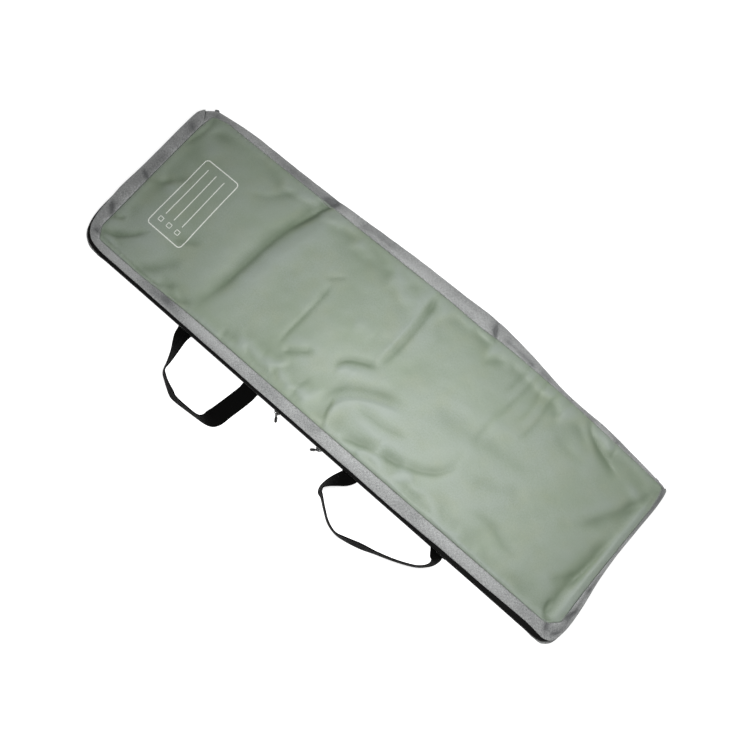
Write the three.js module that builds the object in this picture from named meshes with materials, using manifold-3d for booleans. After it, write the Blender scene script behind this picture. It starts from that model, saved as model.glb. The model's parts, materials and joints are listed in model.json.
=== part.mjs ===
// A soft carry bag for a folding stretcher, lying flat and empty with its handles out.
// Millimetres, +Z up. The origin is on the ground under the middle of the bag, +X runs along the bag,
// and -Y is the front, the side with the zipper sliders and the two webbing handles.
import * as THREE from "three";
import { mergeVertices } from "three/addons/utils/BufferGeometryUtils.js";
import Module from "manifold-3d";

const wasm = await Module();
wasm.setup();

// Driving dimensions.
const CLOTH = 1.2; // thickness of a gusset, with its folded hems
const PANEL = 1.6; // thickness of the top and bottom panels
const TAPE = 0.8; // thickness of the zipper tape
const WEBBING = { width: 38, thickness: 2 };
const GAP = 0.4; // clearance between neighbouring layers
const PANEL_GAP = 1.6; // clearance between the top panel's edge and its seam line
const FRONT_Y = -195; // the straight front edge that the zipper follows
const FRONT_X = { left: -552, right: 572 }; // where the straight front edge ends
const SEAM_Z = 29.5; // height of the seam round the top panel
const CROWN = 12; // how far the middle of the top panel stands above its seam
const BINDING = { inset: 3, height: 4 }; // tape that binds the raw seam edges inside
const COIL = { out: 1, depth: 2, height: 1.8, upper: 16.3, lower: 13.3 }; // each half of the zipper
const SLIDER = { left: -65, right: 43, length: 14 };
const BAIL = { x: 4, out: 6.7, wall: 1.2, low: 13.3, high: 16.3 }; // arch that holds the pull tab
const TAB = { pivot: 4.6, length: 20, low: 11.2, high: 18.4, thickness: 1.2 };
const HANDLE_HINGE = { out: 7.5, z: 8 };

// A fabric section runs through points given as outward distance from the bag's edge, and height.
const SECTION = {
  upperHem: [-1.5, 20.5],
  upperTape: [[-7, 20.3], [0.2, 17.9]],
  lowerTape: [[0.5, 11.8], [-4.5, 8.7]],
  lowerGusset: [[0.4, 9.4], [-9.2, 2.2]],
  backFoldUpper: [-0.8, 19.2],
  backFoldLower: [-0.8, 16.6],
  bottomBinding: [[-14, 2.4], [-14, 6.4]],
  patch: [[-6, 8.4], [-10.8, 4.9]],
  sewnEnd: [[-6, 2.4], [1.5, 7.9], [5.4, 8]],
};
const BOTTOM_INSET = 9.9; // the bottom panel ends this far inside the bag's edge

const material = (color, roughness, metalness = 0) =>
  new THREE.MeshStandardMaterial({ color, roughness, metalness });
const MATERIALS = {
  green: material(0x8f9a8b, 0.75),
  grey: material(0xa4a7a5, 0.8),
  binding: material(0x8c8f8d, 0.85),
  tape: material(0x18191a, 0.85),
  coil: material(0x141414, 0.45),
  webbing: material(0x181815, 0.9),
  metal: material(0x2a2b2c, 0.4, 0.8),
};

// Steps along each side, and the runs of the pieces that cross corners.
const STEPS = { front: 12, left: 26, right: 26, back: 56 };
const ZIPPED = ["left", "front", "right"].map((side) =>
  ({ side, from: 0, to: 1, steps: STEPS[side] }));
const ALL_ROUND = [
  { side: "back", from: 0.5, to: 1, steps: STEPS.back / 2 },
  ...ZIPPED,
  { side: "back", from: 0, to: 0.5, steps: STEPS.back / 2 },
];
const END_GAP = [0.002, 0.998]; // the share of a run that a strip covers, clear of the next piece

const bag = new THREE.Group();
bag.name = "carry_bag";

// Outlines. Each has four sides that meet at its corners, and every side runs the same way round
// in all of them, so the same share of a side is the same place on the bag.
const spline = (...points) =>
  new THREE.SplineCurve(points.map(([x, y]) => new THREE.Vector2(x, y)));
const line = (a, b) => new THREE.LineCurve(new THREE.Vector2(...a), new THREE.Vector2(...b));

// The edge is the outermost line of the bag, seen from above: the far side bows out.
const EDGE = {
  front: line([FRONT_X.left, FRONT_Y], [FRONT_X.right, FRONT_Y]),
  right: spline(
    [FRONT_X.right, FRONT_Y], [590, -191], [601, -175], [605, -150],
    [604, -110], [596, -45], [592, 20], [592, 140], [588, 179],
  ),
  back: spline(
    [588, 179], [529, 186], [433, 196], [337, 198], [240, 212], [144, 222],
    [48, 219], [-96, 214], [-289, 202], [-481, 197], [-556, 189], [-582, 185], [-598, 171],
  ),
  left: spline(
    [-598, 171], [-607, 150], [-609, 0], [-613, -90], [-612, -135],
    [-603, -168], [-582, -188], [FRONT_X.left, FRONT_Y],
  ),
};

// The seam joins the top panel to the gusset.
const SEAM = {
  front: spline(
    [-564, -174], [-450, -174], [-340, -169], [0, -167], [300, -165], [571, -164],
  ),
  right: spline(
    [571, -164], [583, -162], [591, -154], [594, -138],
    [592, -112], [590, -60], [589.5, 20], [589.5, 140], [583, 174],
  ),
  back: spline(
    [583, 174], [529, 178], [433, 184], [337, 189], [240, 191], [165, 191], [120, 187],
    [48, 189], [-96, 186], [-289, 182], [-481, 178], [-550, 178], [-566, 176], [-576, 169],
  ),
  left: spline(
    [-576, 169], [-580, 156], [-581, 100], [-581, 0], [-581, -90], [-582, -135],
    [-581, -157], [-576, -169], [-564, -174],
  ),
};

const ORDER = ["left", "front", "right", "back"]; // the way round that the sides follow each other
const EASE = 0.04; // the share at each end of a side where its direction eases into its neighbour's

// The direction of travel on a side, eased so that two sides share one direction at their corner.
function travel(outline, side, share) {
  const own = outline[side].getTangentAt(share);
  const ending = share > 0.5;
  const toEnd = ending ? 1 - share : share;
  if (toEnd >= EASE) return own;
  const neighbour = ORDER[(ORDER.indexOf(side) + (ending ? 1 : 3)) % 4];
  const other = outline[neighbour].getTangentAt(ending ? 0 : 1);
  return own.lerp(other, 0.5 * (1 - toEnd / EASE)).normalize();
}

// A place on a side, moved outward. Outward is to the right of the way round.
function onSide(outline, side, share, out) {
  const point = outline[side].getPointAt(share);
  const along = travel(outline, side, share);
  return new THREE.Vector3(point.x + along.y * out, point.y - along.x * out, 0);
}

// A rail is a function from a share of a side to a point in space.
const rail = (outline, side, out, z) => (share) => onSide(outline, side, share, out).setZ(z);

// A rail that runs along several stretches of an outline, each given as a side, the shares of it
// where the stretch starts and ends, and its number of steps. Neighbouring strips that step alike
// stay parallel round the corners.
function joinedRail(outline, stretches, out, z) {
  const total = countSteps(stretches);
  return (share) => {
    let step = share * total;
    let i = 0;
    while (i < stretches.length - 1 && step > stretches[i].steps) step -= stretches[i++].steps;
    const { side, from, to, steps } = stretches[i];
    return onSide(outline, side, between(from, to, Math.min(1, step / steps)), out).setZ(z);
  };
}

const countSteps = (stretches) => stretches.reduce((sum, { steps }) => sum + steps, 0);

// A value part of the way from low to high.
const between = (low, high, share) => low + (high - low) * share;

// Adds one named mesh to the bag.
function addPiece(name, geometry, finish) {
  const mesh = new THREE.Mesh(geometry, finish);
  mesh.name = name;
  bag.add(mesh);
  return mesh;
}

// Volume inside a closed triangle mesh, negative when its faces point inwards.
function signedVolume(geometry) {
  const p = geometry.attributes.position;
  const [a, b, c] = [new THREE.Vector3(), new THREE.Vector3(), new THREE.Vector3()];
  let sum = 0;
  for (let i = 0; i < geometry.index.count; i += 3) {
    a.fromBufferAttribute(p, geometry.index.getX(i));
    b.fromBufferAttribute(p, geometry.index.getX(i + 1));
    c.fromBufferAttribute(p, geometry.index.getX(i + 2));
    sum += a.dot(b.cross(c)) / 6;
  }
  return sum;
}

// A box whose corners, edges and faces are moved to place(u, v, w), each from 0 to 1.
function bentBox([along, across, through], place) {
  const geometry = new THREE.BoxGeometry(1, 1, 1, along, across, through);
  const p = geometry.attributes.position;
  for (let i = 0; i < p.count; i++) {
    const v = place(p.getX(i) + 0.5, p.getY(i) + 0.5, p.getZ(i) + 0.5);
    p.setXYZ(i, v.x, v.y, v.z);
  }
  if (signedVolume(geometry) < 0) {
    const index = geometry.index;
    for (let i = 0; i < index.count; i += 3) {
      const first = index.getX(i);
      index.setX(i, index.getX(i + 1));
      index.setX(i + 1, first);
    }
  }
  geometry.computeVertexNormals();
  return geometry;
}

// A strip of fabric of even thickness between two rails.
function strip(railA, railB, thickness, steps, [low, high] = [0, 1]) {
  const nudge = 1e-3;
  return bentBox([steps, 1, 1], (u, v, w) => {
    const share = between(low, high, u);
    const a = railA(share);
    const b = railB(share);
    const before = railA(Math.max(0, share - nudge)).add(railB(Math.max(0, share - nudge)));
    const after = railA(Math.min(1, share + nudge)).add(railB(Math.min(1, share + nudge)));
    const across = b.clone().sub(a);
    const normal = after.sub(before).cross(across).normalize();
    return a.addScaledVector(across, v).addScaledVector(normal, (w - 0.5) * thickness);
  });
}

// A point of the patch stretched between four sides, u along the bag and v from front to back.
function insideOutline(outline, out, u, v) {
  const front = (share) => onSide(outline, "front", share, out);
  const back = (share) => onSide(outline, "back", 1 - share, out);
  const left = (share) => onSide(outline, "left", 1 - share, out);
  const right = (share) => onSide(outline, "right", share, out);
  const corner = (x, y) => {
    const alongX = y ? back(x) : front(x);
    const alongY = x ? right(y) : left(y);
    return alongX.add(alongY).multiplyScalar(0.5);
  };
  const point = front(u).multiplyScalar(1 - v);
  point.addScaledVector(back(u), v);
  point.addScaledVector(left(v), 1 - u);
  point.addScaledVector(right(v), u);
  point.addScaledVector(corner(0, 0), -(1 - u) * (1 - v));
  point.addScaledVector(corner(1, 0), -u * (1 - v));
  point.addScaledVector(corner(0, 1), -(1 - u) * v);
  point.addScaledVector(corner(1, 1), -u * v);
  return point;
}

// The top panel is gently crowned, and the bottom one is flat on the ground.
function panels() {
  const bulge = (u, v) => Math.max(0, Math.sin(Math.PI * u) * Math.sin(Math.PI * v));
  const top = bentBox([28, 10, 1], (u, v, w) => {
    const lift = CROWN * Math.sqrt(bulge(u, v));
    return insideOutline(SEAM, -PANEL_GAP, u, v).setZ(SEAM_Z + (w - 0.5) * PANEL + lift);
  });
  addPiece("top_panel", top, MATERIALS.green);
  const bottom = bentBox([28, 6, 1], (u, v, w) =>
    insideOutline(EDGE, -BOTTOM_INSET, u, v).setZ(w * PANEL));
  addPiece("bottom_panel", bottom, MATERIALS.green);
}

// Gussets: an upper and a lower strip on each zipped side, and one folded strip along the back.
function gussets() {
  const labels = { front: "front", left: "left_end", right: "right_end" };
  const [hemOut, hemZ] = SECTION.upperHem;
  const [[topOut, topZ], [footOut, footZ]] = SECTION.lowerGusset;
  for (const [key, label] of Object.entries(labels)) {
    const upper = strip(rail(SEAM, key, GAP, SEAM_Z), rail(EDGE, key, hemOut, hemZ),
      CLOTH, STEPS[key], END_GAP);
    addPiece(`upper_gusset_${label}`, upper, MATERIALS.grey);
    const lower = strip(rail(EDGE, key, topOut, topZ), rail(EDGE, key, footOut, footZ),
      CLOTH, STEPS[key], END_GAP);
    addPiece(`lower_gusset_${label}`, lower, MATERIALS.grey);
  }
  const backUpper = strip(rail(SEAM, "back", GAP, SEAM_Z), rail(EDGE, "back", ...SECTION.backFoldUpper),
    CLOTH, STEPS.back, END_GAP);
  addPiece("back_gusset_upper_fold", backUpper, MATERIALS.grey);
  const backLower = strip(rail(EDGE, "back", ...SECTION.backFoldLower),
    rail(EDGE, "back", footOut, footZ), CLOTH, STEPS.back, END_GAP);
  addPiece("back_gusset_lower_fold", backLower, MATERIALS.grey);
}

// Binding tapes cover the raw edges of both seams inside the bag; each tape's ends meet at the back.
function bindings() {
  const topZ = SEAM_Z - PANEL / 2 - GAP;
  const steps = countSteps(ALL_ROUND);
  const top = strip(joinedRail(SEAM, ALL_ROUND, -BINDING.inset, topZ),
    joinedRail(SEAM, ALL_ROUND, -BINDING.inset, topZ - BINDING.height), CLOTH, steps, END_GAP);
  addPiece("top_seam_binding", top, MATERIALS.binding);
  const [low, high] = SECTION.bottomBinding;
  const bottom = strip(joinedRail(EDGE, ALL_ROUND, ...low), joinedRail(EDGE, ALL_ROUND, ...high),
    CLOTH, steps, END_GAP);
  addPiece("bottom_seam_binding", bottom, MATERIALS.binding);
}

// The zipper: two tapes and two coils round three sides, with a sewn tab over each end.
function zipper() {
  const steps = countSteps(ZIPPED);
  const tapes = { upper_zipper_tape: SECTION.upperTape, lower_zipper_tape: SECTION.lowerTape };
  for (const [name, [from, to]] of Object.entries(tapes)) {
    const tape = strip(joinedRail(EDGE, ZIPPED, ...from), joinedRail(EDGE, ZIPPED, ...to),
      TAPE, steps, END_GAP);
    addPiece(name, tape, MATERIALS.tape);
  }
  const coils = { upper_zipper_coil: COIL.upper, lower_zipper_coil: COIL.lower };
  for (const [name, middle] of Object.entries(coils)) {
    const coil = strip(joinedRail(EDGE, ZIPPED, COIL.out, middle - COIL.height / 2),
      joinedRail(EDGE, ZIPPED, COIL.out, middle + COIL.height / 2), COIL.depth, steps, END_GAP);
    addPiece(name, coil, MATERIALS.coil);
  }
}

// Each zipper end is covered by a folded tab, on the back just past the corner.
function endTabs() {
  const out = 3.2;
  const [low, high] = [7, 15];
  const tabs = {
    zipper_end_tab_left: [0.975, 0.985],
    zipper_end_tab_right: [0.012, 0.022],
  };
  for (const [name, span] of Object.entries(tabs)) {
    const tab = strip(rail(EDGE, "back", out, low), rail(EDGE, "back", out, high), 3, 2, span);
    addPiece(name, tab, MATERIALS.tape);
  }
}

// A closed band of even thickness along a line of 2-D points.
function bandShape(points, thickness) {
  const at = points.map(([x, y]) => new THREE.Vector2(x, y));
  const sides = at.map((point, i) => {
    const before = at[Math.max(0, i - 1)];
    const after = at[Math.min(at.length - 1, i + 1)];
    const along = after.clone().sub(before).normalize();
    return new THREE.Vector2(-along.y, along.x).multiplyScalar(thickness / 2);
  });
  const upper = at.map((point, i) => point.clone().add(sides[i]));
  const lower = at.map((point, i) => point.clone().sub(sides[i]));
  return new THREE.Shape([...lower, ...upper.reverse()]);
}

// Extrudes a shape drawn in (outward, height) along the front edge, centred on x.
function alongFront(shape, x, width) {
  const geometry = new THREE.ExtrudeGeometry(shape, { depth: width, bevelEnabled: false });
  const turn = new THREE.Matrix4().set(
    0, 0, -1, x + width / 2,
    -1, 0, 0, FRONT_Y,
    0, 1, 0, 0,
    0, 0, 0, 1,
  );
  return geometry.applyMatrix4(turn);
}

// Each handle is held by two sewn ends on the lower gusset, with a patch inside behind each.
function handleAnchors() {
  const places = {
    left_handle_outer: -312,
    left_handle_inner: -137,
    right_handle_inner: 121,
    right_handle_outer: 341,
  };
  for (const [name, x] of Object.entries(places)) {
    const end = alongFront(bandShape(SECTION.sewnEnd, WEBBING.thickness), x, WEBBING.width);
    addPiece(`${name}_sewn_end`, end, MATERIALS.webbing);
    const patch = alongFront(bandShape(SECTION.patch, 1), x, WEBBING.width + 22);
    addPiece(`${name}_patch`, patch, MATERIALS.grey);
  }
}

// A webbing strap along a curve. Each point has a place and a turn: 0 lies flat, 1 stands on edge.
function strap(points, steps) {
  const path = new THREE.CatmullRomCurve3(points.map(([x, y, z]) => new THREE.Vector3(x, y, z)));
  const turns = new THREE.SplineCurve(points.map(([, , , turn], i) => new THREE.Vector2(i, turn)));
  const up = new THREE.Vector3(0, 0, 1);
  return bentBox([steps, 1, 1], (u, v, w) => {
    const along = path.getTangent(u);
    const side = along.clone().cross(up).normalize();
    const angle = (Math.min(1, Math.max(0, turns.getPoint(u).y)) * Math.PI) / 2;
    const across = side.multiplyScalar(Math.cos(angle)).addScaledVector(up, Math.sin(angle));
    const through = along.cross(across).normalize();
    return path.getPoint(u)
      .addScaledVector(across, (v - 0.5) * WEBBING.width)
      .addScaledVector(through, (w - 0.5) * WEBBING.thickness);
  });
}

// Handles lie on the ground in front of the bag, partly twisted on edge.
function handles() {
  const startY = FRONT_Y - HANDLE_HINGE.out + 0.5;
  const z = HANDLE_HINGE.z;
  const left = strap([
    [-312, startY, z, 0], [-312, startY - 12, z, 0], [-311, startY - 24, z + 0.5, 0.02],
    [-303, -252, 15, 0.45], [-290, -278, 21, 1], [-270, -298, 21, 1], [-236, -309, 21, 1],
    [-190, -311, 21, 1], [-162, -303, 20.8, 0.95], [-149, -276, 15.5, 0.5],
    [-138, startY - 30, z + 1, 0.05], [-137, startY - 14, z, 0], [-137, startY, z, 0],
  ], 44);
  addPiece("left_handle", left, MATERIALS.webbing);
  const right = strap([
    [121, startY, z, 0], [121, startY - 12, z, 0], [119, startY - 24, z + 0.5, 0.02],
    [109, -246, 15, 0.45], [107, -266, 21, 1], [130, -283, 21, 1], [175, -296, 21, 1],
    [231, -283, 21, 1], [300, -262, 21, 1], [328, -249, 17, 0.6],
    [340, startY - 24, z + 1, 0.05], [341, startY - 12, z, 0], [341, startY, z, 0],
  ], 48);
  addPiece("right_handle", right, MATERIALS.webbing);
}

// A closed geometry as a solid that can be joined and cut.
function solidOf(geometry) {
  const bare = geometry.clone();
  bare.deleteAttribute("normal");
  bare.deleteAttribute("uv");
  const merged = mergeVertices(bare, 1e-4);
  return new wasm.Manifold(new wasm.Mesh({
    numProp: 3,
    vertProperties: merged.attributes.position.array,
    triVerts: new Uint32Array(merged.index.array),
  }));
}

// A solid back as a geometry.
function geometryOf(solid) {
  const mesh = solid.getMesh();
  const geometry = new THREE.BufferGeometry();
  geometry.setAttribute("position", new THREE.BufferAttribute(mesh.vertProperties, 3));
  geometry.setIndex(new THREE.BufferAttribute(mesh.triVerts, 1));
  geometry.computeVertexNormals();
  return geometry;
}

// A slider: plates outside and inside the coils, a web between the coils, a lip under the lower
// coil, and an arch outside that holds the pull tab. Nothing covers the upper coil from above.
function sliderGeometry() {
  const body = new THREE.Shape([
    [3.6, 11.5], [3.6, 17.8], [2.4, 17.8], [2.4, 15.1], [-0.4, 15.1], [-0.4, 17.2], [-1.6, 17.2],
    [-1.6, 12.2], [-0.4, 12.2], [-0.4, 14.5], [2.4, 14.5], [2.4, 12.1], [1.4, 12.1], [1.4, 11.5],
  ].map(([out, z]) => new THREE.Vector2(out, z)));
  const plates = alongFront(body, 0, SLIDER.length);
  const { x, out, wall, low, high } = BAIL;
  const foot = 3.4;
  const arch = new THREE.Shape([
    [-x, foot], [-x + wall, foot], [-x + wall, out - wall], [x - wall, out - wall],
    [x - wall, foot], [x, foot], [x, out], [-x, out],
  ].map(([along, outward]) => new THREE.Vector2(along, FRONT_Y - outward)));
  const bail = new THREE.ExtrudeGeometry(arch, { depth: high - low, bevelEnabled: false });
  bail.translate(0, 0, low);
  return geometryOf(solidOf(plates).add(solidOf(bail)));
}

// A pull tab: a plate on edge, with a window at one end that the slider's arch passes through.
function pullTabGeometry() {
  const back = -0.6;
  const { length, low, high, thickness } = TAB;
  const plate = new THREE.Shape([
    [back, low], [length - 3, low], [length, low + 2], [length, high - 2],
    [length - 3, high], [back, high],
  ].map(([along, z]) => new THREE.Vector2(along, z)));
  plate.holes.push(new THREE.Path([
    [0.6, low + 1.6], [0.6, high - 1.6], [5.6, high - 1.6], [5.6, low + 1.6],
  ].map(([along, z]) => new THREE.Vector2(along, z))));
  const geometry = new THREE.ExtrudeGeometry(plate, { depth: thickness, bevelEnabled: false });
  geometry.translate(0, 0, -thickness / 2);
  return geometry.rotateX(Math.PI / 2);
}

// Two sliders close the zipper towards each other; their pull tabs stick out at different angles.
function sliders() {
  const turns = { left: -57, right: -146 };
  for (const [side, degrees] of Object.entries(turns)) {
    const slider = addPiece(`${side}_slider`, sliderGeometry(), MATERIALS.metal);
    slider.position.x = SLIDER[side];
    const tab = addPiece(`${side}_pull_tab`, pullTabGeometry(), MATERIALS.metal);
    tab.position.set(SLIDER[side], FRONT_Y - TAB.pivot, 0);
    tab.rotation.z = THREE.MathUtils.degToRad(degrees);
  }
}

panels();
gussets();
bindings();
zipper();
endTabs();
handleAnchors();
handles();
sliders();

export default bag;
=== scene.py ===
"""A flat zipped carry bag of coated nylon, with a zipper round three sides and two webbing handles.

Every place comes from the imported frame. Lengths below are in millimetres, and become metres when a
mesh is made. The bag's outline is read off the frame as two closed lines: the seam round the top
panel, and the outer edge that the zipper follows.
"""

import json
import math

import bmesh
import bpy
import numpy as np
from mathutils import Matrix, Vector
from mathutils.bvhtree import BVHTree


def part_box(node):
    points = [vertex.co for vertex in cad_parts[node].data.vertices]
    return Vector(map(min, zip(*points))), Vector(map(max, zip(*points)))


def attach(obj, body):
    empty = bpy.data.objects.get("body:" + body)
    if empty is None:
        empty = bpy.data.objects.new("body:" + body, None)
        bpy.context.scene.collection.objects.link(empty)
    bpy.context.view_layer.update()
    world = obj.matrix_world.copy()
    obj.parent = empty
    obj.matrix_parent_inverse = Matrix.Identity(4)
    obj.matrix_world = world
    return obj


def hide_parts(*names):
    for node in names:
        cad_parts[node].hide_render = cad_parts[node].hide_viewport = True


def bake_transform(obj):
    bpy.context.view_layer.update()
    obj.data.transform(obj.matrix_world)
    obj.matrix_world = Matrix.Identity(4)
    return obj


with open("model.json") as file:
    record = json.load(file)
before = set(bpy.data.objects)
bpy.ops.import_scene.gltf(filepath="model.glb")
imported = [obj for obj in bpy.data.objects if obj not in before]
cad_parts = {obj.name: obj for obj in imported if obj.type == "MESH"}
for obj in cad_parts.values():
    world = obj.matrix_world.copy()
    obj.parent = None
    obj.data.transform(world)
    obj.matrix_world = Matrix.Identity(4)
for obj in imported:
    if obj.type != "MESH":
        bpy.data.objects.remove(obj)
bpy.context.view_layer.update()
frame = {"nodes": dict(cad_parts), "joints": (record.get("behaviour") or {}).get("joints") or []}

MM = 0.001

# Outline sampling.
SPINE = 450  # half length of the line that the stations look out from
STATION = 3  # distance between stations
NOMINAL = (605, 200)  # half length and half depth of the rectangle that the end stations aim at
CLEAR = 900  # rays start this far out
EDGE_Z = 16.2
SEAM_Z = 29.5
COIL_PROUD = 2  # the coil stands this far outside the edge line
FOLD_SHY = 0.2  # the back fold stops this far inside it
PANEL_GAP = 1.6  # the CAD panel stops this far inside the seam

OUTLINE_BLUR = 1.6  # in stations

# Cloth.
PANEL_CELL = 2.8
PANEL_DEPTH = 350
SLACK_CELL = 7.0
SLACK_FRAMES = 24
SLACK_SHRINK = -0.009  # negative: the cloth grows, and so it buckles
SLACK_LIMIT = 6
CLOTH = 0.9
GUSSET_CLOTH = 0.7
CROWN = 9.5
SEAM_DIP = 2.0
TAPE = 0.7
HEM_Z = 20.6
GUSSET_SLOPE = 0.34
BACK_RIM = 0.55  # how much of the relief is left at the back fold
SEAM_SHADE = 1.1  # painted shade: how much darker the cloth is painted in the seam
RIM_SHADE = 0.6  # and along the hem
CREASE_REACH = 90  # a crease is worked out this far round its path

# Zipper.
COIL_PITCH = 2.0
COIL_WIRE = 0.42
COIL_HALF = (1.0, 1.65)  # half depth outwards, half height
COIL_MIDDLE = {"upper": 16.1, "lower": 13.4}
COIL_SPREAD = 0.9  # the coils part by this much between the sliders

END_TAB_PROUD = {"left": 5.4, "right": 1.4}  # the right one is tucked in

# Pull tabs: degrees of lean about their length, and of droop.
PULL_LEAN = 22
PULL_DROOP = 33

STITCH_LENGTH = 3.0
STITCH_GAP = 1.0
THREAD_RADIUS = 0.28

# Webbing: width and thickness.
WEBBING = (38, 1.9)

CAMERA = {"azimuth": 41.2, "elevation": 78, "distance": 1924, "lens": 47.6,
          "target": (28.8, -18.4, 19.2)}


# ------------------------------------------------------------------ numbers

def unit(v):
    return v / np.maximum(np.linalg.norm(v, axis=-1, keepdims=True), 1e-9)


def ease(value, low, high):
    """0 below low, 1 above high, and smooth between."""
    t = np.clip((value - low) / (high - low), 0, 1)
    return t * t * (3 - 2 * t)


def blur(values, sigma, wrap=False):
    """Gaussian smoothing along the first axis, with sigma in samples."""
    reach = int(3 * sigma) + 1
    kernel = np.exp(-0.5 * (np.arange(-reach, reach + 1) / sigma) ** 2)
    kernel /= kernel.sum()
    flat = values.reshape(len(values), -1)
    padded = np.pad(flat, ((reach, reach), (0, 0)), mode="wrap" if wrap else "edge")
    columns = [np.convolve(padded[:, c], kernel, mode="valid") for c in range(flat.shape[1])]
    return np.stack(columns, -1).reshape(values.shape)


def blur_both(grid, sigma):
    """Gaussian smoothing of a grid along both axes."""
    return blur(blur(grid, sigma).T, sigma).T


def arc_lengths(points):
    """Distance along an open line at each of its points."""
    return np.concatenate([[0], np.cumsum(np.linalg.norm(points[1:] - points[:-1], axis=-1))])


def resample(points, count):
    """The same open line with evenly spaced points."""
    s = arc_lengths(points)
    at = np.linspace(0, s[-1], count)
    return np.stack([np.interp(at, s, points[:, k]) for k in range(points.shape[1])], -1)


def curve_through(points, spacing=4.0):
    """A Catmull-Rom curve through a few points, evenly sampled."""
    p = np.asarray(points, float)
    p = np.concatenate([[2 * p[0] - p[1]], p, [2 * p[-1] - p[-2]]])
    parts = []
    t = np.linspace(0, 1, 24, endpoint=False)[:, None]
    for a, b, c, d in zip(p[:-3], p[1:-2], p[2:-1], p[3:]):
        parts.append(0.5 * (2 * b + (c - a) * t + (2 * a - 5 * b + 4 * c - d) * t**2
                            + (3 * b - a - 3 * c + d) * t**3))
    line = np.concatenate(parts + [p[-2:-1]])
    length = arc_lengths(line)[-1]
    return resample(line, max(3, int(length / spacing) + 1))


def ripple(position, wavelengths, seed):
    """A sum of sine waves of a few wavelengths, about -1 to 1, along one position."""
    rng = np.random.default_rng(seed)
    total = np.zeros_like(position, dtype=float)
    for wavelength in wavelengths:
        for _ in range(3):
            stretch = rng.uniform(0.75, 1.3)
            total += np.sin(position * 2 * math.pi / (wavelength * stretch) + rng.uniform(0, 6.3))
    return total / (1.6 * math.sqrt(3 * len(wavelengths)))


def swell(x, y, wavelength, seed):
    """Smooth random relief over the plan, about -1 to 1."""
    rng = np.random.default_rng(seed)
    total = np.zeros_like(x, dtype=float)
    for _ in range(9):
        heading = rng.uniform(0, 2 * math.pi)
        k = 2 * math.pi / (wavelength * rng.uniform(0.7, 1.5))
        total += np.sin(k * (x * math.cos(heading) + y * math.sin(heading)) + rng.uniform(0, 6.3))
    return total / 4


# ------------------------------------------------------------------ outlines from the frame

def tree_of(*nodes):
    """The CAD nodes as one ray casting tree, in millimetres."""
    vertices = []
    faces = []
    for node in nodes:
        mesh = frame["nodes"][node].data
        offset = len(vertices)
        vertices += [v.co / MM for v in mesh.vertices]
        faces += [[offset + i for i in p.vertices] for p in mesh.polygons]
    return BVHTree.FromPolygons(vertices, faces)


def station_rays():
    """Start points on the spine and directions outwards, round the bag: left end, front, right, back."""
    deep = NOMINAL[1]
    far = NOMINAL[0]
    xs = np.arange(-SPINE, SPINE + 1, STATION, dtype=float)
    end = resample(np.array([(SPINE, -deep), (far, -deep), (far, deep), (SPINE, deep)], float),
                   int(2 * (far - SPINE + deep) / STATION))[1:-1]
    front = [((x, 0), (x, -deep)) for x in xs]
    right = [((SPINE, 0), tuple(p)) for p in end]
    back = [((x, 0), (x, deep)) for x in xs[::-1]]
    left = [((-SPINE, 0), (-p[0], -p[1])) for p in end]
    rays = np.array(front + right + back + left, float)
    return rays[:, 0], unit(rays[:, 1] - rays[:, 0])


def reaches(tree, starts, directions, z):
    """How far the tree reaches from each start, or not a number where the ray misses."""
    out = []
    for start, direction in zip(starts, directions):
        origin = start + direction * CLEAR
        hit = tree.ray_cast(Vector((*origin, z)), Vector((*-direction, 0)), CLEAR)[0]
        out.append(np.nan if hit is None else np.dot(np.array(hit[:2]) - start, direction))
    return np.array(out)


def filled(values):
    """Missing values of a closed line joined straight across."""
    good = np.flatnonzero(~np.isnan(values))
    return np.interp(np.arange(len(values)), good, values[good], period=len(values))


def outlines():
    """The seam and the edge as closed lines of matching stations, the zipped stations first."""
    starts, directions = station_rays()
    coil = reaches(tree_of("upper_zipper_coil"), starts, directions, EDGE_Z) - COIL_PROUD
    fold = reaches(tree_of("back_gusset_lower_fold"), starts, directions, EDGE_Z) + FOLD_SHY
    zipped = ~np.isnan(coil)
    edge_reach = blur(filled(np.where(zipped, coil, fold)), OUTLINE_BLUR, wrap=True)
    seam_reach = reaches(tree_of("top_panel"), starts, directions, SEAM_Z) + PANEL_GAP
    seam_reach = blur(filled(seam_reach), OUTLINE_BLUR, wrap=True)
    first = np.flatnonzero(zipped & ~np.roll(zipped, 1))[0]
    count = int(zipped.sum())
    seam = np.roll(starts + directions * seam_reach[:, None], -first, axis=0)
    edge = np.roll(starts + directions * edge_reach[:, None], -first, axis=0)
    return seam, edge, count


def outward(line, closed=True):
    """Unit normals that point out of a line that runs counterclockwise."""
    if closed:
        along = np.roll(line, -1, axis=0) - np.roll(line, 1, axis=0)
    else:
        along = np.gradient(line, axis=0)
    along = unit(blur(along, 2, wrap=closed))
    return np.stack([along[:, 1], -along[:, 0]], -1)


SEAM, EDGE, ZIPPED = outlines()
OUT = outward(EDGE)


# ------------------------------------------------------------------ relief: folds and wrinkles

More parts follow.
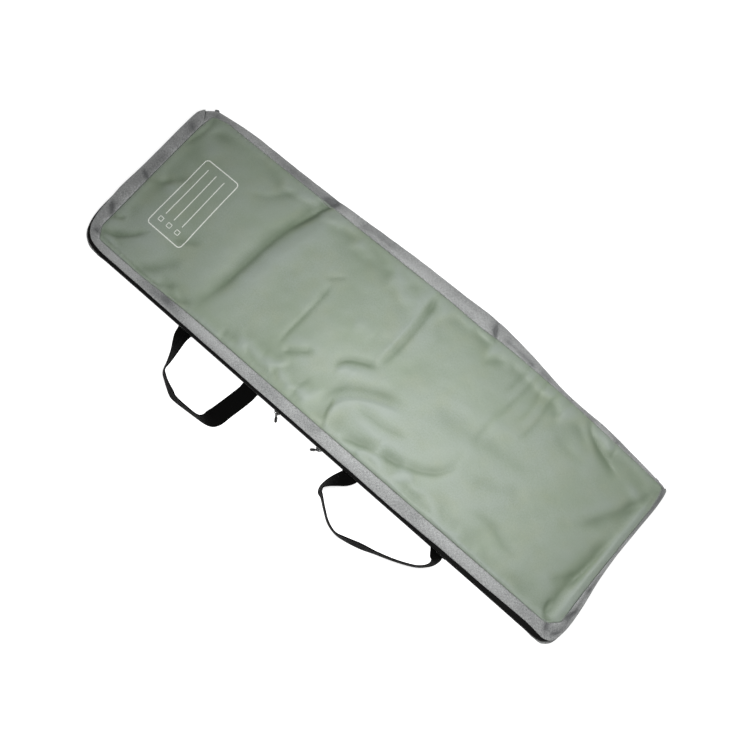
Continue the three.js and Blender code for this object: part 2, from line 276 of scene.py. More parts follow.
# Each crease is a path over the plan, its height (negative for a valley), its width to the left and
# to the right of its travel, and how sharp it is (1 is a sharp line, 2 is a soft roll).
CREASES = [
    # the deep fold across the left third: a valley, and the broad rise to the right of it
    ([(-246, 250), (-262, 200), (-280, 145), (-293, 100), (-303, 50), (-309, -20), (-314, -80), (-325, -135),
      (-340, -172)], -8.5, 15, 26, 1.5),
    ([(-246, 240), (-264, 196), (-276, 155), (-286, 120), (-298, 84)], -3.6, 7, 8, 1.4),
    ([(-232, 170), (-244, 120), (-258, 60), (-266, 0), (-272, -80)], 2.6, 40, 20, 1.9),
    # far left: the corner and the two diagonals beside the printed panel
    ([(-572, 180), (-564, 145), (-572, 104), (-582, 70)], -2.8, 8, 8, 1.6),
    ([(-572, 152), (-540, 120), (-500, 92)], 2.0, 20, 18, 1.9),
    ([(-578, -16), (-556, -4), (-534, 20), (-512, 44)], -3, 11, 10, 1.5),
    ([(-404, 92), (-372, 110), (-350, 140), (-326, 176)], -2, 9, 13, 1.6),
    # near left corner
    ([(-584, -126), (-570, -117), (-552, -104)], -3.2, 5, 5, 1.3),
    ([(-586, -162), (-548, -146), (-518, -122), (-494, -90)], -4.6, 10, 6, 1.4),
    ([(-452, -78), (-425, -62), (-400, -46)], -1.8, 8, 7, 1.5),
    ([(-596, -163), (-530, -167), (-470, -168), (-390, -167)], -3.2, 2.4, 2.4, 1.4),
    ([(-474, -172), (-445, -148), (-420, -118), (-396, -92)], -2.6, 15, 13, 1.6),
    ([(-425, -174), (-400, -156), (-376, -142)], -2.2, 7, 6, 1.4),
    ([(-390, -178), (-360, -162), (-330, -150)], -2.8, 8, 7, 1.4),
    # the short upright crease right of the fold, hooked at its far end
    ([(-138, 88), (-154, 74), (-172, 56)], -1.6, 6, 6, 1.4),
    ([(-152, 62), (-149, 20), (-150, -30), (-152, -70), (-149, -116)], -2.4, 6, 7, 1.5),
    ([(-136, -102), (-112, -84), (-84, -60)], -3.2, 8, 8, 1.6),
    ([(-104, -116), (-118, -134), (-130, -154)], -1.6, 8, 8, 1.5),
    ([(-60, -108), (-66, -140), (-62, -168)], -1.4, 9, 8, 1.5),
    ([(-248, -140), (-243, -158), (-238, -178)], -1.4, 8, 8, 1.5),
    # the curl left of the middle
    ([(24, -8), (-4, -20), (-24, -32), (-36, -46), (-38, -68)], -3.8, 7, 9, 1.5),
    ([(4, -44), (-20, -50), (-32, -72)], 1.6, 9, 9, 1.6),
    ([(-20, 40), (-50, 36), (-74, 26)], 1.4, 18, 16, 1.7),
    # the middle fold
    ([(8, 196), (13, 150), (16, 100), (17, 50), (15, -20)], 2.2, 5, 8, 1.5),
    ([(14, 190), (28, 140), (32, 90), (31, 40), (26, -10)], -3.0, 6, 16, 1.6),
    ([(38, 168), (60, 130), (92, 100)], -0.8, 11, 11, 1.6),
    # the curved ridge below it, and the long curved valley
    ([(28, -176), (14, -152), (12, -126), (20, -100), (46, -78), (88, -58), (134, -46)], 2.8, 7, 13, 1.6),
    ([(26, -176), (14, -152), (5, -126), (4, -104)], -3.4, 6, 4, 1.4),
    ([(-16, -110), (0, -78), (36, -52), (76, -34), (120, -28)], -2.8, 13, 13, 1.7),
    ([(50, -108), (90, -110), (150, -104), (206, -90)], 1.2, 12, 12, 1.9),
    ([(30, -86), (70, -88), (110, -84), (172, -70)], -2.2, 11, 7, 1.6),
    ([(54, -158), (92, -142), (140, -130), (190, -117), (230, -97), (254, -72), (259, -44), (256, -10)],
     -3.6, 17, 7, 1.5),
    ([(100, -172), (106, -158)], -2.4, 5, 5, 1.4),
    ([(150, 6), (240, 16), (345, 24), (430, 14)], -1.8, 26, 22, 1.9),
    ([(258, 100), (258, 50), (258, -10)], -1.2, 7, 7, 1.5),
    # gathers below the bend of the back edge
    ([(108, 182), (135, 172), (170, 174)], -1.8, 6, 10, 1.6),
    ([(210, 170), (184, 150), (164, 126)], -1.5, 11, 9, 1.6),
    ([(247, 202), (246, 160), (242, 110)], -1.6, 3, 7, 1.4),
    ([(270, 202), (269, 160), (264, 110), (262, 60)], -1.9, 7, 3, 1.4),
    ([(288, 202), (294, 158), (300, 120), (294, 76)], -1.7, 3, 8, 1.4),
    ([(322, 200), (320, 150), (324, 110), (318, 50)], -1.8, 8, 4, 1.4),
    ([(350, 198), (346, 166), (338, 134)], -1.4, 4, 8, 1.5),
    # the wedge at the far right
    ([(398, 192), (412, 168), (438, 154), (470, 143), (512, 128)], -3.8, 5, 16, 1.5),
    ([(426, 190), (452, 173), (470, 158)], 2.2, 10, 9, 1.6),
    ([(462, 190), (469, 170), (473, 148)], -1.9, 3, 6, 1.3),
    ([(360, 118), (410, 108), (456, 112)], -1.4, 14, 16, 1.7),
    # right end: a narrow roll along the seam, the valley beside it and the diagonals
    ([(578, 170), (578, 80), (577, 0), (577, -80), (580, -156)], 2.8, 6, 6, 1.7),
    ([(586, 176), (568, 134), (553, 90), (532, 52), (508, 14), (494, -6)], -4.4, 18, 12, 1.6),
    ([(568, 34), (564, -20), (560, -70), (558, -115), (572, -158)], -4.6, 9, 17, 1.6),
    ([(564, -60), (540, -84), (524, -104)], -2.4, 14, 12, 1.6),
    ([(580, -178), (573, -162), (558, -148), (550, -118)], -4.4, 4, 7, 1.3),
    ([(340, -96), (390, -94), (430, -106), (476, -110)], -1.7, 11, 9, 1.6),
    ([(300, -52), (350, -30), (400, 0)], -1.5, 20, 20, 1.8),
    # the light roll just inside the near right seam
    ([(120, -159), (300, -158), (440, -157), (566, -157)], 1.0, 3.4, 4, 1.7),
    # back gusset: a pleat where the edge bends, and the pinched strip at the far right
    ([(134, 236), (149, 206), (157, 191), (168, 178)], -5, 3, 9, 1.3),
    ([(172, 200), (215, 201), (262, 196)], -1.6, 5, 6, 1.7),
    ([(412, 198), (448, 190), (512, 185)], -2.6, 5, 5, 1.5),
    ([(40, 202), (90, 203), (132, 205)], 1.8, 6, 7, 1.8),
    ([(-40, 196), (-100, 194), (-200, 190)], 1.4, 5, 4, 1.8),
    # left end of the gusset
    ([(-616, -4), (-592, -13), (-572, -20)], -3.4, 4, 4, 1.3),
    ([(-616, -94), (-592, -110), (-574, -124)], -4.2, 6, 7, 1.4),
    ([(-616, 60), (-592, 64), (-572, 66)], 1.6, 13, 12, 1.8),
    ([(-616, 136), (-592, 124), (-574, 116)], -2.4, 8, 9, 1.5),
    # right end of the gusset, crumpled at the near corner
    ([(614, -100), (598, -122), (590, -146)], -4, 4, 6, 1.4),
    ([(620, -146), (603, -162), (588, -178)], -3.6, 5, 5, 1.4),
    ([(612, -60), (594, -66), (584, -70)], -2, 5, 6, 1.4),
    ([(604, 30), (592, 24), (582, 20)], -1.8, 6, 6, 1.4),
    ([(594, -20), (598, -90), (603, -150), (600, -172)], -2.2, 4, 4, 1.6),
]


def crease(x, y, path, height, left, right, sharpness):
    """The relief that one crease adds. It fades out at the ends of its path."""
    line = curve_through(path)
    low = line.min(axis=0) - CREASE_REACH
    high = line.max(axis=0) + CREASE_REACH
    near = (x > low[0]) & (x < high[0]) & (y > low[1]) & (y < high[1])
    relief = np.zeros_like(x)
    px = x[near][:, None]
    py = y[near][:, None]
    a = line[:-1]
    d = line[1:] - a
    share = ((px - a[:, 0]) * d[:, 0] + (py - a[:, 1]) * d[:, 1]) / (d**2).sum(1)
    share = np.clip(share, 0, 1)
    gap_x = px - a[:, 0] - share * d[:, 0]
    gap_y = py - a[:, 1] - share * d[:, 1]
    gap = np.hypot(gap_x, gap_y)
    best = gap.argmin(1)
    row = np.arange(len(best))
    side = d[best, 0] * gap_y[row, best] - d[best, 1] * gap_x[row, best]
    width = np.where(side > 0, left, right)
    along = (best + share[row, best]) / len(a)
    fade = ease(along, -0.1, 0.2) * ease(1 - along, 0, 0.3)
    relief[near] = height * fade * np.exp(-((gap[row, best] / width) ** sharpness))
    return relief


def relief(x, y):
    """Every crease and the low swells of the empty bag, over the plan."""
    total = 1.6 * swell(x, y, 230, 3) + 0.55 * swell(x, y, 95, 4) + 0.25 * swell(x, y, 42, 5)
    for path, height, left, right, sharpness in CREASES:
        total += crease(x, y, path, height, left, right, sharpness)
    return total


def pucker(position, seed):
    """The small gathers that stitching pulls into cloth, along a seam."""
    return ripple(position, (11, 19, 37), seed)


# ------------------------------------------------------------------ meshes

def placed(name, data):
    """A new object in the scene."""
    obj = bpy.data.objects.new(name, data)
    bpy.context.scene.collection.objects.link(obj)
    return obj


def rounded(obj, width, segments):
    """Rounds an object's sharp edges."""
    rounding = obj.modifiers.new("rounding", "BEVEL")
    rounding.width = width * MM
    rounding.segments = segments
    rounding.limit_method = "ANGLE"
    rounding.angle_limit = math.radians(40)


def make_object(name, vertices, faces, uvs=None):
    """A mesh object from millimetre points. uvs holds one pair per face corner, in metres."""
    mesh = bpy.data.meshes.new(name)
    mesh.from_pydata((np.asarray(vertices, float) * MM).tolist(), [], np.asarray(faces).tolist())
    if uvs is not None:
        layer = mesh.uv_layers.new(name="cloth")
        layer.data.foreach_set("uv", (np.asarray(uvs, float) * MM).ravel())
    mesh.shade_smooth()
    return placed(name, mesh)


def grid_faces(rows, columns, closed):
    """Quads of a grid of points, and the row and column of each face corner."""
    across = columns if closed else columns - 1
    i, j = np.meshgrid(np.arange(rows - 1), np.arange(across), indexing="ij")
    corner_rows = np.stack([i, i, i + 1, i + 1], -1).reshape(-1, 4)
    corner_columns = np.stack([j, j + 1, j + 1, j], -1).reshape(-1, 4)
    return corner_rows * columns + corner_columns % columns, corner_rows, corner_columns


def sheet(name, rows, thickness):
    """A cloth shell from rows of points, thickened away from its face. A fourth number in each point is
    painted
    onto its colour: below 0 as painted shade, above 0 as a painted highlight; the end tabs use it to turn
    dark grey."""
    rows = np.asarray(rows, float)
    painted_shade_and_tint = rows[..., 3:].ravel()
    rows = rows[..., :3]
    faces, at_row, at_column = grid_faces(rows.shape[0], rows.shape[1], False)
    along = arc_lengths(rows[len(rows) // 2])
    across = arc_lengths(rows[:, rows.shape[1] // 2])
    uvs = np.stack([along[at_column], across[at_row]], -1)
    obj = make_object(name, rows.reshape(-1, 3), faces, uvs.reshape(-1, 2))
    # the fourth numbers go into the "fold" attribute, which the cloth materials paint as shade and highlight
    if len(painted_shade_and_tint):
        layer = obj.data.attributes.new("fold", "FLOAT", "POINT")
        layer.data.foreach_set("value", painted_shade_and_tint)
    shell = obj.modifiers.new("shell", "SOLIDIFY")
    shell.thickness = thickness * MM
    shell.offset = -1
    return applied(obj)


def applied(obj):
    """The object with its modifiers made part of its mesh."""
    bpy.context.view_layer.update()
    graph = bpy.context.evaluated_depsgraph_get()
    mesh = bpy.data.meshes.new_from_object(obj.evaluated_get(graph), depsgraph=graph)
    obj.modifiers.clear()
    old = obj.data
    obj.data = mesh
    mesh.name = old.name
    bpy.data.meshes.remove(old)
    return obj


def with_z(line, z):
    z = np.broadcast_to(z, (len(line),))
    return np.concatenate([line, z[:, None]], -1)


def tube_along(path, radius, sides):
    """Vertices and faces of a round wire along a path."""
    along = unit(np.gradient(path, axis=0))
    side = unit(np.cross(along, (0, 0, 1.0)))
    up = np.cross(side, along)
    angles = np.arange(sides) * 2 * math.pi / sides
    ring = (side[:, None] * np.cos(angles)[None, :, None] + up[:, None] * np.sin(angles)[None, :, None])
    vertices = (path[:, None] + ring * radius).reshape(-1, 3)
    i, j = np.meshgrid(np.arange(len(path) - 1), np.arange(sides), indexing="ij")
    k = (j + 1) % sides
    faces = np.stack([i * sides + j, i * sides + k, (i + 1) * sides + k, (i + 1) * sides + j], -1)
    return vertices, faces.reshape(-1, 4)


def own(obj, material, body=None, nodes=()):
    """Gives a finished piece its material and its body."""
    obj.data.materials.clear()
    obj.data.materials.append(material)
    if nodes:
        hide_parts(*nodes)
    if body:
        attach(obj, body)
    return obj


# ------------------------------------------------------------------ materials

def paint(color):
    """A colour as a node input takes it: an output, or red, green, blue and alpha."""
    return color if hasattr(color, "links") else (*color, 1)


class Shader:
    """Builds a material's node tree one step at a time."""

    def __init__(self, name):
        self.material = bpy.data.materials.new(name)
        self.material.use_nodes = True
        self.tree = self.material.node_tree
        self.principled = self.tree.nodes["Principled BSDF"]

    def node(self, kind, settings=None, **inputs):
        """A node with its settings, and its inputs by name with _ for a space."""
        made = self.tree.nodes.new(kind)
        for key, value in (settings or {}).items():
            setattr(made, key, value)
        for key, value in inputs.items():
            self.put(made.inputs[key.replace("_", " ")], value)
        return made

    def put(self, socket, value):
        if hasattr(value, "links"):
            self.tree.links.new(value, socket)
        else:
            socket.default_value = value

    def math(self, operation, a, b=0.0):
        made = self.node("ShaderNodeMath", {"operation": operation})
        self.put(made.inputs[0], a)
        self.put(made.inputs[1], b)
        return made.outputs[0]

    def times(self, a, b):
        return self.math("MULTIPLY", a, b)

    def plus(self, a, b):
        return self.math("ADD", a, b)

    def minus(self, a, b):
        return self.math("SUBTRACT", a, b)

    def size(self, a):
        return self.math("ABSOLUTE", a)

    def coordinates(self, kind="UV"):
        """Cloth coordinates in metres, or the place in the bag's frame."""
        if kind == "UV":
            return self.node("ShaderNodeUVMap", {"uv_map": "cloth"}).outputs[0]
        return self.node("ShaderNodeTexCoord").outputs["Object"]

    def painted_shade_and_tint(self):
        """How far the cloth stands above (or below) the cloth around it, in millimetres, with painted seam
        and hem shade added on the gussets; the cloth materials paint it as shade below 0 and as a highlight
        above 0.
        """
        return self.node("ShaderNodeAttribute", {"attribute_name": "fold"}).outputs["Fac"]

    def scaled(self, vector, scale):
        made = self.node("ShaderNodeVectorMath", {"operation": "MULTIPLY"})
        self.put(made.inputs[0], vector)
        made.inputs[1].default_value = scale
        return made.outputs[0]

    def split(self, vector):
        return self.node("ShaderNodeSeparateXYZ", Vector=vector).outputs

    def noise(self, vector, scale, detail=2.0, roughness=0.5):
        return self.node("ShaderNodeTexNoise", Scale=scale, Detail=detail, Roughness=roughness,
                         Vector=vector).outputs[0]

    def span(self, value, low, high, to_low=0.0, to_high=1.0):
        """The value carried from one range to another, and held at its ends."""
        return self.node("ShaderNodeMapRange", {"clamp": True}, Value=value, From_Min=low, From_Max=high,
                         To_Min=to_low, To_Max=to_high).outputs[0]

    def blend(self, factor, a, b):
        """Colour a where the factor is 0, and b where it is 1."""
        made = self.node("ShaderNodeMix", {"data_type": "RGBA"})
        for slot, value in ((0, factor), (6, paint(a)), (7, paint(b))):
            self.put(made.inputs[slot], value)
        return made.outputs[2]

    def wave(self, value, period):
        """A sine wave along a length in metres."""
        return self.math("SINE", self.times(value, 2 * math.pi / (period * MM)))

    def bump(self, height, distance, strength=1.0, normal=None):
        made = self.node("ShaderNodeBump", Strength=strength, Distance=distance * MM, Height=height)
        if normal is not None:
            self.put(made.inputs["Normal"], normal)
        return made.outputs[0]

    def done(self, color, roughness, normal=None, **other):
        self.put(self.principled.inputs["Base Color"], paint(color))
        self.put(self.principled.inputs["Roughness"], roughness)
        if normal is not None:
            self.put(self.principled.inputs["Normal"], normal)
        for key, value in other.items():
            self.put(self.principled.inputs[key.replace("_", " ")], value)
        return self.material


def linear(red, green, blue):
    """An sRGB colour of 0 to 255 as linear light."""
    return tuple((c / 255 / 12.92) if c < 10.3 else ((c / 255 + 0.055) / 1.055) ** 2.4
                 for c in (red, green, blue))


GREEN = linear(148, 161, 143)
GREEN_DARK = linear(135, 150, 128)
# the pale green below is both a cloudy tone of the cloth and a painted highlight on ridges; the deep green
# is painted shade in the valleys of creases
GREEN_PALE_AND_HIGHLIGHT = linear(156, 166, 160)
GREEN_PAINTED_SHADE = linear(96, 112, 88)
GREEN_YELLOW = linear(152, 160, 134)
GREEN_GRAIN = linear(139, 151, 134)
GREY_DARK = linear(136, 137, 137)
# the pale grey is both a fibre colour of the heather and a painted highlight on ridges; the deep grey is
# painted shade in creases, seams and along the hem, and also turns the end tabs dark grey
GREY_PALE_AND_HIGHLIGHT = linear(186, 188, 187)
GREY_PAINTED_SHADE_AND_DARK_TAB = linear(82, 84, 85)
PRINT = linear(236, 240, 232)


def woven(shader, uv, pitch):
    """Height of a plain weave of that thread pitch."""
    u, v = shader.split(uv)[:2]
    return shader.times(shader.wave(u, 2 * pitch), shader.wave(v, 2 * pitch))


def green_base(shader, uv):
    """Coated nylon: colour with cloudy variation, roughness, and a normal with weave and crinkle."""
    place = shader.coordinates("Object")
    clouds = shader.noise(place, 9, 4, 0.55)
    color = shader.blend(shader.span(clouds, 0.35, 0.65), GREEN_DARK, GREEN_PALE_AND_HIGHLIGHT)
    color = shader.blend(0.5, color, GREEN)
    stains = shader.noise(place, 21, 3, 0.5)
    color = shader.blend(shader.span(stains, 0.5, 0.68, 0, 0.35), color, GREEN_YELLOW)
    grain = shader.noise(uv, 330, 4, 0.7)
    color = shader.blend(shader.span(grain, 0.4, 0.62, 0, 0.75), color, GREEN_GRAIN)
    # painted shade in the valleys of creases and seams, and a painted highlight on ridges
    painted_shade_and_tint = shader.painted_shade_and_tint()
    color = shader.blend(shader.span(painted_shade_and_tint, -3.0, 0.0, 0.6, 0.0), color, GREEN_PAINTED_SHADE)
    color = shader.blend(shader.span(painted_shade_and_tint, 0.0, 1.6, 0.0, 0.5), color, GREEN_PALE_AND_HIGHLIGHT)
    crinkle = shader.bump(shader.noise(place, 55, 5, 0.62), 0.9, 0.55)
    rumple = shader.bump(shader.noise(place, 190, 3, 0.6), 0.8, 0.22, crinkle)
    normal = shader.bump(woven(shader, uv, 0.55), 0.05, 0.6, rumple)
    roughness = shader.span(clouds, 0.3, 0.7, 0.42, 0.52)
    return color, roughness, normal


def green_cloth():
    shader = Shader("green_coated_nylon")
    color, roughness, normal = green_base(shader, shader.coordinates())
    return shader.done(color, roughness, normal, Sheen_Weight=0.08, Specular_IOR_Level=0.35)


def printed_cloth():
    """The top panel: coated nylon with a blank identification panel printed on it."""
    shader = Shader("green_coated_nylon_printed")
    color, roughness, normal = green_base(shader, shader.coordinates())
    place = shader.coordinates("Object")
    facing = shader.split(shader.node("ShaderNodeTexCoord").outputs["Normal"])[2]
    outer_face = shader.math("GREATER_THAN", facing, 0.0)
    mask = shader.times(identification_panel(shader, place), outer_face)
    wear = shader.span(shader.noise(place, 420, 3, 0.6), 0.36, 0.5, 0.75, 1)
    color = shader.blend(shader.times(mask, wear), color, PRINT)
    return shader.done(color, roughness, normal, Sheen_Weight=0.08, Specular_IOR_Level=0.35)


ID_PANEL = {"middle": (-473, 4), "half": (44, 88), "round": 8, "line": 2.3}
ID_RULES = [(-26, 62), (-4, 62), (18, 62)]  # each rule's offset from the middle, and its half length
ID_BOXES = [(-26, -74), (-4, -74), (18, -74)]  # small blank boxes at the foot of each rule


def identification_panel(shader, place):
    """A mask of a rounded frame, ruled lines and blank boxes. It holds no lettering."""
    x, y = shader.split(place)[:2]
    across = shader.minus(x, ID_PANEL["middle"][0] * MM)
    along = shader.minus(y, ID_PANEL["middle"][1] * MM)

    def line(distance, width):
        return shader.math("LESS_THAN", shader.size(distance), width * MM / 2)

    def box_distance(cx, cy, half_x, half_y, rounding):
        qx = shader.minus(shader.size(shader.minus(across, cx * MM)),
                         (half_x - rounding) * MM)
        qy = shader.minus(shader.size(shader.minus(along, cy * MM)),
                         (half_y - rounding) * MM)
        px = shader.math("MAXIMUM", qx, 0.0)
        py = shader.math("MAXIMUM", qy, 0.0)
        outside = shader.math("SQRT", shader.plus(shader.times(px, px),
                                                  shader.times(py, py)))
        inside = shader.math("MINIMUM", shader.math("MAXIMUM", qx, qy), 0.0)
        return shader.minus(shader.plus(outside, inside), rounding * MM)

    mask = line(box_distance(0, 0, *ID_PANEL["half"], ID_PANEL["round"]), ID_PANEL["line"])
    for offset, half in ID_RULES:
        rule = shader.math("LESS_THAN", box_distance(offset, 10, 1.0, half, 0.5), 0.0)
        mask = shader.math("MAXIMUM", mask, rule)
    for cx, cy in ID_BOXES:
        mask = shader.math("MAXIMUM", mask, line(box_distance(cx, cy + 8, 4.5, 4.5, 1), 1.5))
    return mask


def grey_cloth():
    """Heathered polyester: pale and dark fibres mixed along the thread."""
    shader = Shader("heathered_grey_polyester")
    uv = shader.coordinates()
    flecks = shader.noise(shader.scaled(uv, (260, 700, 1)), 1, 3, 0.6)
    cross_flecks = shader.noise(shader.scaled(uv, (800, 260, 1)), 1, 2, 0.6)
    mixed = shader.plus(shader.times(flecks, 0.6), shader.times(cross_flecks, 0.4))
    color = shader.blend(shader.span(mixed, 0.42, 0.58), GREY_DARK, GREY_PALE_AND_HIGHLIGHT)
    # painted shade in creases, seams and along the hem, and a painted highlight on ridges; the end tabs turn
    # dark grey this way too
    painted_shade_and_tint = shader.painted_shade_and_tint()
    color = shader.blend(shader.span(painted_shade_and_tint, -3.2, 0.0, 0.75, 0.0), color, GREY_PAINTED_SHADE_AND_DARK_TAB)
    color = shader.blend(shader.span(painted_shade_and_tint, 0.0, 2.0, 0.0, 0.4), color, GREY_PALE_AND_HIGHLIGHT)
    crinkle = shader.bump(shader.noise(shader.coordinates("Object"), 70, 4, 0.6), 0.8, 0.5)
    normal = shader.bump(woven(shader, uv, 0.6), 0.06, 0.7, crinkle)
    return shader.done(color, 0.78, normal, Sheen_Weight=0.15, Specular_IOR_Level=0.25)


def webbing():
    """Ribbed nylon webbing: lengthwise ribs crossed by the pick of the weave."""
    shader = Shader("black_webbing")
    uv = shader.coordinates()
    u, v = shader.split(uv)[:2]
    rib = shader.size(shader.wave(v, 3.2))
    parity = shader.times(shader.math("FLOOR", shader.times(v, 1 / (1.6 * MM))), math.pi)
    pick = shader.math("SINE", shader.plus(shader.times(u, 2 * math.pi / (2.4 * MM)), parity))
    height = shader.times(rib, shader.plus(0.65, shader.times(pick, 0.35)))
    color = shader.blend(height, linear(3, 3, 3), linear(9, 9, 8))
    lint = shader.span(shader.noise(uv, 2200, 2, 0.5), 0.62, 0.74, 0, 0.08)
    color = shader.blend(lint, color, linear(70, 72, 66))
    return shader.done(color, 0.85, shader.bump(height, 0.35, 0.6), Specular_IOR_Level=0.05)


def zipper_tape():
    shader = Shader("black_zipper_tape")
    uv = shader.coordinates()
    u, v = shader.split(uv)[:2]
    knit = shader.times(shader.wave(u, 1.2), shader.wave(v, 1.6))
    cords = shader.size(shader.wave(v, 4.2))
    height = shader.plus(shader.times(knit, 0.4), cords)
    color = shader.blend(shader.span(height, -0.4, 1.4), linear(5, 5, 5), linear(17, 17, 16))
    return shader.done(color, 0.8, shader.bump(height, 0.3, 0.8), Specular_IOR_Level=0.15)


def coil_plastic():
    shader = Shader("black_coil")
    place = shader.coordinates("Object")
    scuffs = shader.noise(place, 300, 3, 0.6)
    color = shader.blend(shader.span(scuffs, 0.45, 0.7), linear(9, 9, 9), linear(26, 26, 25))
    roughness = shader.span(scuffs, 0.35, 0.7, 0.3, 0.5)
    return shader.done(color, roughness, shader.bump(scuffs, 0.1, 0.3))


def black_metal():
    """Black enamel over zinc, worn through to bare metal in small spots."""
    shader = Shader("black_enamelled_metal")
    place = shader.coordinates("Object")
    spots = shader.noise(place, 650, 4, 0.65)
    geometry = shader.node("ShaderNodeNewGeometry")
    edges = shader.span(geometry.outputs["Pointiness"], 0.52, 0.62)
    worn = shader.times(edges, shader.span(spots, 0.48, 0.6))
    color = shader.blend(worn, linear(14, 14, 14), linear(96, 96, 94))
    roughness = shader.span(spots, 0.3, 0.7, 0.34, 0.5)
    normal = shader.bump(spots, 0.05, 0.4)
    return shader.done(color, roughness, normal, Metallic=worn, Specular_IOR_Level=0.3)


def binding_tape():
    shader = Shader("grey_binding_tape")
    place = shader.coordinates("Object")
    ribs = shader.noise(shader.scaled(place, (1, 1, 3)), 900, 2, 0.5)
    color = shader.blend(shader.span(ribs, 0.4, 0.6), linear(126, 130, 128), linear(158, 160, 158))
    return shader.done(color, 0.85, shader.bump(ribs, 0.2, 0.6))


def grey_thread():
    shader = Shader("grey_thread")
    twist = shader.noise(shader.coordinates("Object"), 2500, 1, 0.5)
    color = shader.blend(shader.span(twist, 0.4, 0.6), linear(128, 131, 128), linear(186, 188, 184))
    return shader.done(color, 0.6, shader.bump(twist, 0.1, 0.5))


MATERIAL = {
    "green": green_cloth(),
    "printed": printed_cloth(),
    "grey": grey_cloth(),
    "webbing": webbing(),
    "tape": zipper_tape(),
    "coil": coil_plastic(),
    "metal": black_metal(),
    "binding": binding_tape(),
    "thread": grey_thread(),
}


# ------------------------------------------------------------------ panels

def corner_station(line, toward_x, toward_y):
    """The station nearest one corner of the bag."""
    return int(np.argmax(toward_x * line[:, 0] / NOMINAL[0] + toward_y * line[:, 1] / NOMINAL[1]))


def stretch(line, first, last):
    """The part of a closed line from one station to another, the way round that it runs."""
    count = (last - first) % len(line) + 1
    return line[(first + np.arange(count)) % len(line)]


def patch(line, cell):
    """A grid over the inside of a closed outline, its sides blended from the outline's four sides.
    Returns plan points (rows back, columns along), and each one's share of the way along and back."""
    near_left = corner_station(line, -1, -1)
    near_right = corner_station(line, 1, -1)
    far_right = corner_station(line, 1, 1)
    far_left = corner_station(line, -1, 1)
    front = stretch(line, near_left, near_right)
    columns = int(arc_lengths(front)[-1] / cell)
    rows = int(PANEL_DEPTH / cell)
    front = resample(front, columns)
    right = resample(stretch(line, near_right, far_right), rows)
    back = resample(stretch(line, far_right, far_left), columns)[::-1]
    left = resample(stretch(line, far_left, near_left), rows)[::-1]
    u = np.linspace(0, 1, columns)[None, :, None]
    v = np.linspace(0, 1, rows)[:, None, None]
    points = ((1 - v) * front[None] + v * back[None] + (1 - u) * left[:, None] + u * right[:, None]
              - (1 - u) * (1 - v) * front[0] - u * (1 - v) * front[-1]
              - (1 - u) * v * back[0] - u * v * back[-1])
    return points, u[..., 0], v[..., 0]


def edge_gaps(points, u, v):
    """Distance from the two ends and from the two long sides, at each grid point."""
    length = points[:, -1, 0] - points[:, 0, 0]
    depth = points[-1, :, 1] - points[0, :, 1]
    return np.minimum(u, 1 - u) * length[:, None], np.minimum(v, 1 - v) * depth[None, :]


def settle(points, heights, hold):
    """Lets the sheet buckle as slightly slack cloth, held at its seams. Returns how far it moves."""
    rows, columns = heights.shape
    start = np.concatenate([points, heights[..., None]], -1)
    faces, _, _ = grid_faces(rows, columns, False)
    cloth_sheet = make_object("settling_sheet", start.reshape(-1, 3), faces)
    group = cloth_sheet.vertex_groups.new(name="hold")
    weights = hold.ravel()
    for level in np.unique(np.round(weights, 2)):
        members = np.flatnonzero(np.round(weights, 2) == level).tolist()
        group.add(members, float(level), "REPLACE")
    modifier = cloth_sheet.modifiers.new("cloth", "CLOTH")
    settings = modifier.settings
    settings.quality = 6
    settings.mass = 0.15
    settings.tension_stiffness = 40
    settings.compression_stiffness = 40
    settings.shear_stiffness = 20
    settings.bending_stiffness = 0.6
    settings.air_damping = 3
    settings.shrink_min = SLACK_SHRINK
    settings.shrink_max = SLACK_SHRINK
    settings.vertex_group_mass = "hold"
    settings.pin_stiffness = 0.6
    settings.effector_weights.gravity = 0.02
    modifier.collision_settings.use_collision = False
    modifier.point_cache.frame_start = 1
    modifier.point_cache.frame_end = SLACK_FRAMES
    scene = bpy.context.scene
    for number in range(1, SLACK_FRAMES + 1):
        scene.frame_set(number)
    graph = bpy.context.evaluated_depsgraph_get()
    moved = np.empty(rows * columns * 3, np.float32)
    cloth_sheet.evaluated_get(graph).data.vertices.foreach_get("co", moved)
    scene.frame_set(1)
    bpy.data.objects.remove(cloth_sheet)
    shift = moved.reshape(rows, columns, 3) / MM - start
    return np.clip(shift, -SLACK_LIMIT, SLACK_LIMIT)


def finer(values, rows, columns):
    """A coarse grid of vectors read at a finer grid, smoothly."""
    r = np.linspace(0, 1, values.shape[0])
    c = np.linspace(0, 1, values.shape[1])
    new_r = np.linspace(0, 1, rows)
    new_c = np.linspace(0, 1, columns)
    out = []
    for k in range(values.shape[2]):
        stage = np.stack([np.interp(new_r, r, values[:, j, k]) for j in range(values.shape[1])], 1)
        stage = np.stack([np.interp(new_c, c, stage[i]) for i in range(rows)], 0)
        out.append(blur_both(stage, 1.2))
    return np.stack(out, -1)


def crowned(u, v):
    return CROWN * (np.sin(math.pi * np.clip(u, 0, 1)) * np.sin(math.pi * np.clip(v, 0, 1))) ** 0.4


def slack(cell):
    """How the top panel buckles, found on a coarse sheet. Its broad rise is left out."""
    points, u, v = patch(SEAM, cell)
    ends, sides = edge_gaps(points, u, v)
    heights = SEAM_Z + crowned(u, v)
    gap = np.minimum(ends, sides)
    hold = np.where(gap < 1, 1.0, 0.012)
    shift = settle(points, heights, hold)
    rise = shift[..., 2]
    shift[..., 2] = rise - blur_both(rise, 5)
    return shift


def standing(z, cell):
    """How far each point of a grid stands above the average of the cloth around it."""
    return blur_both(z - blur_both(z, 20 / cell), 0.7)


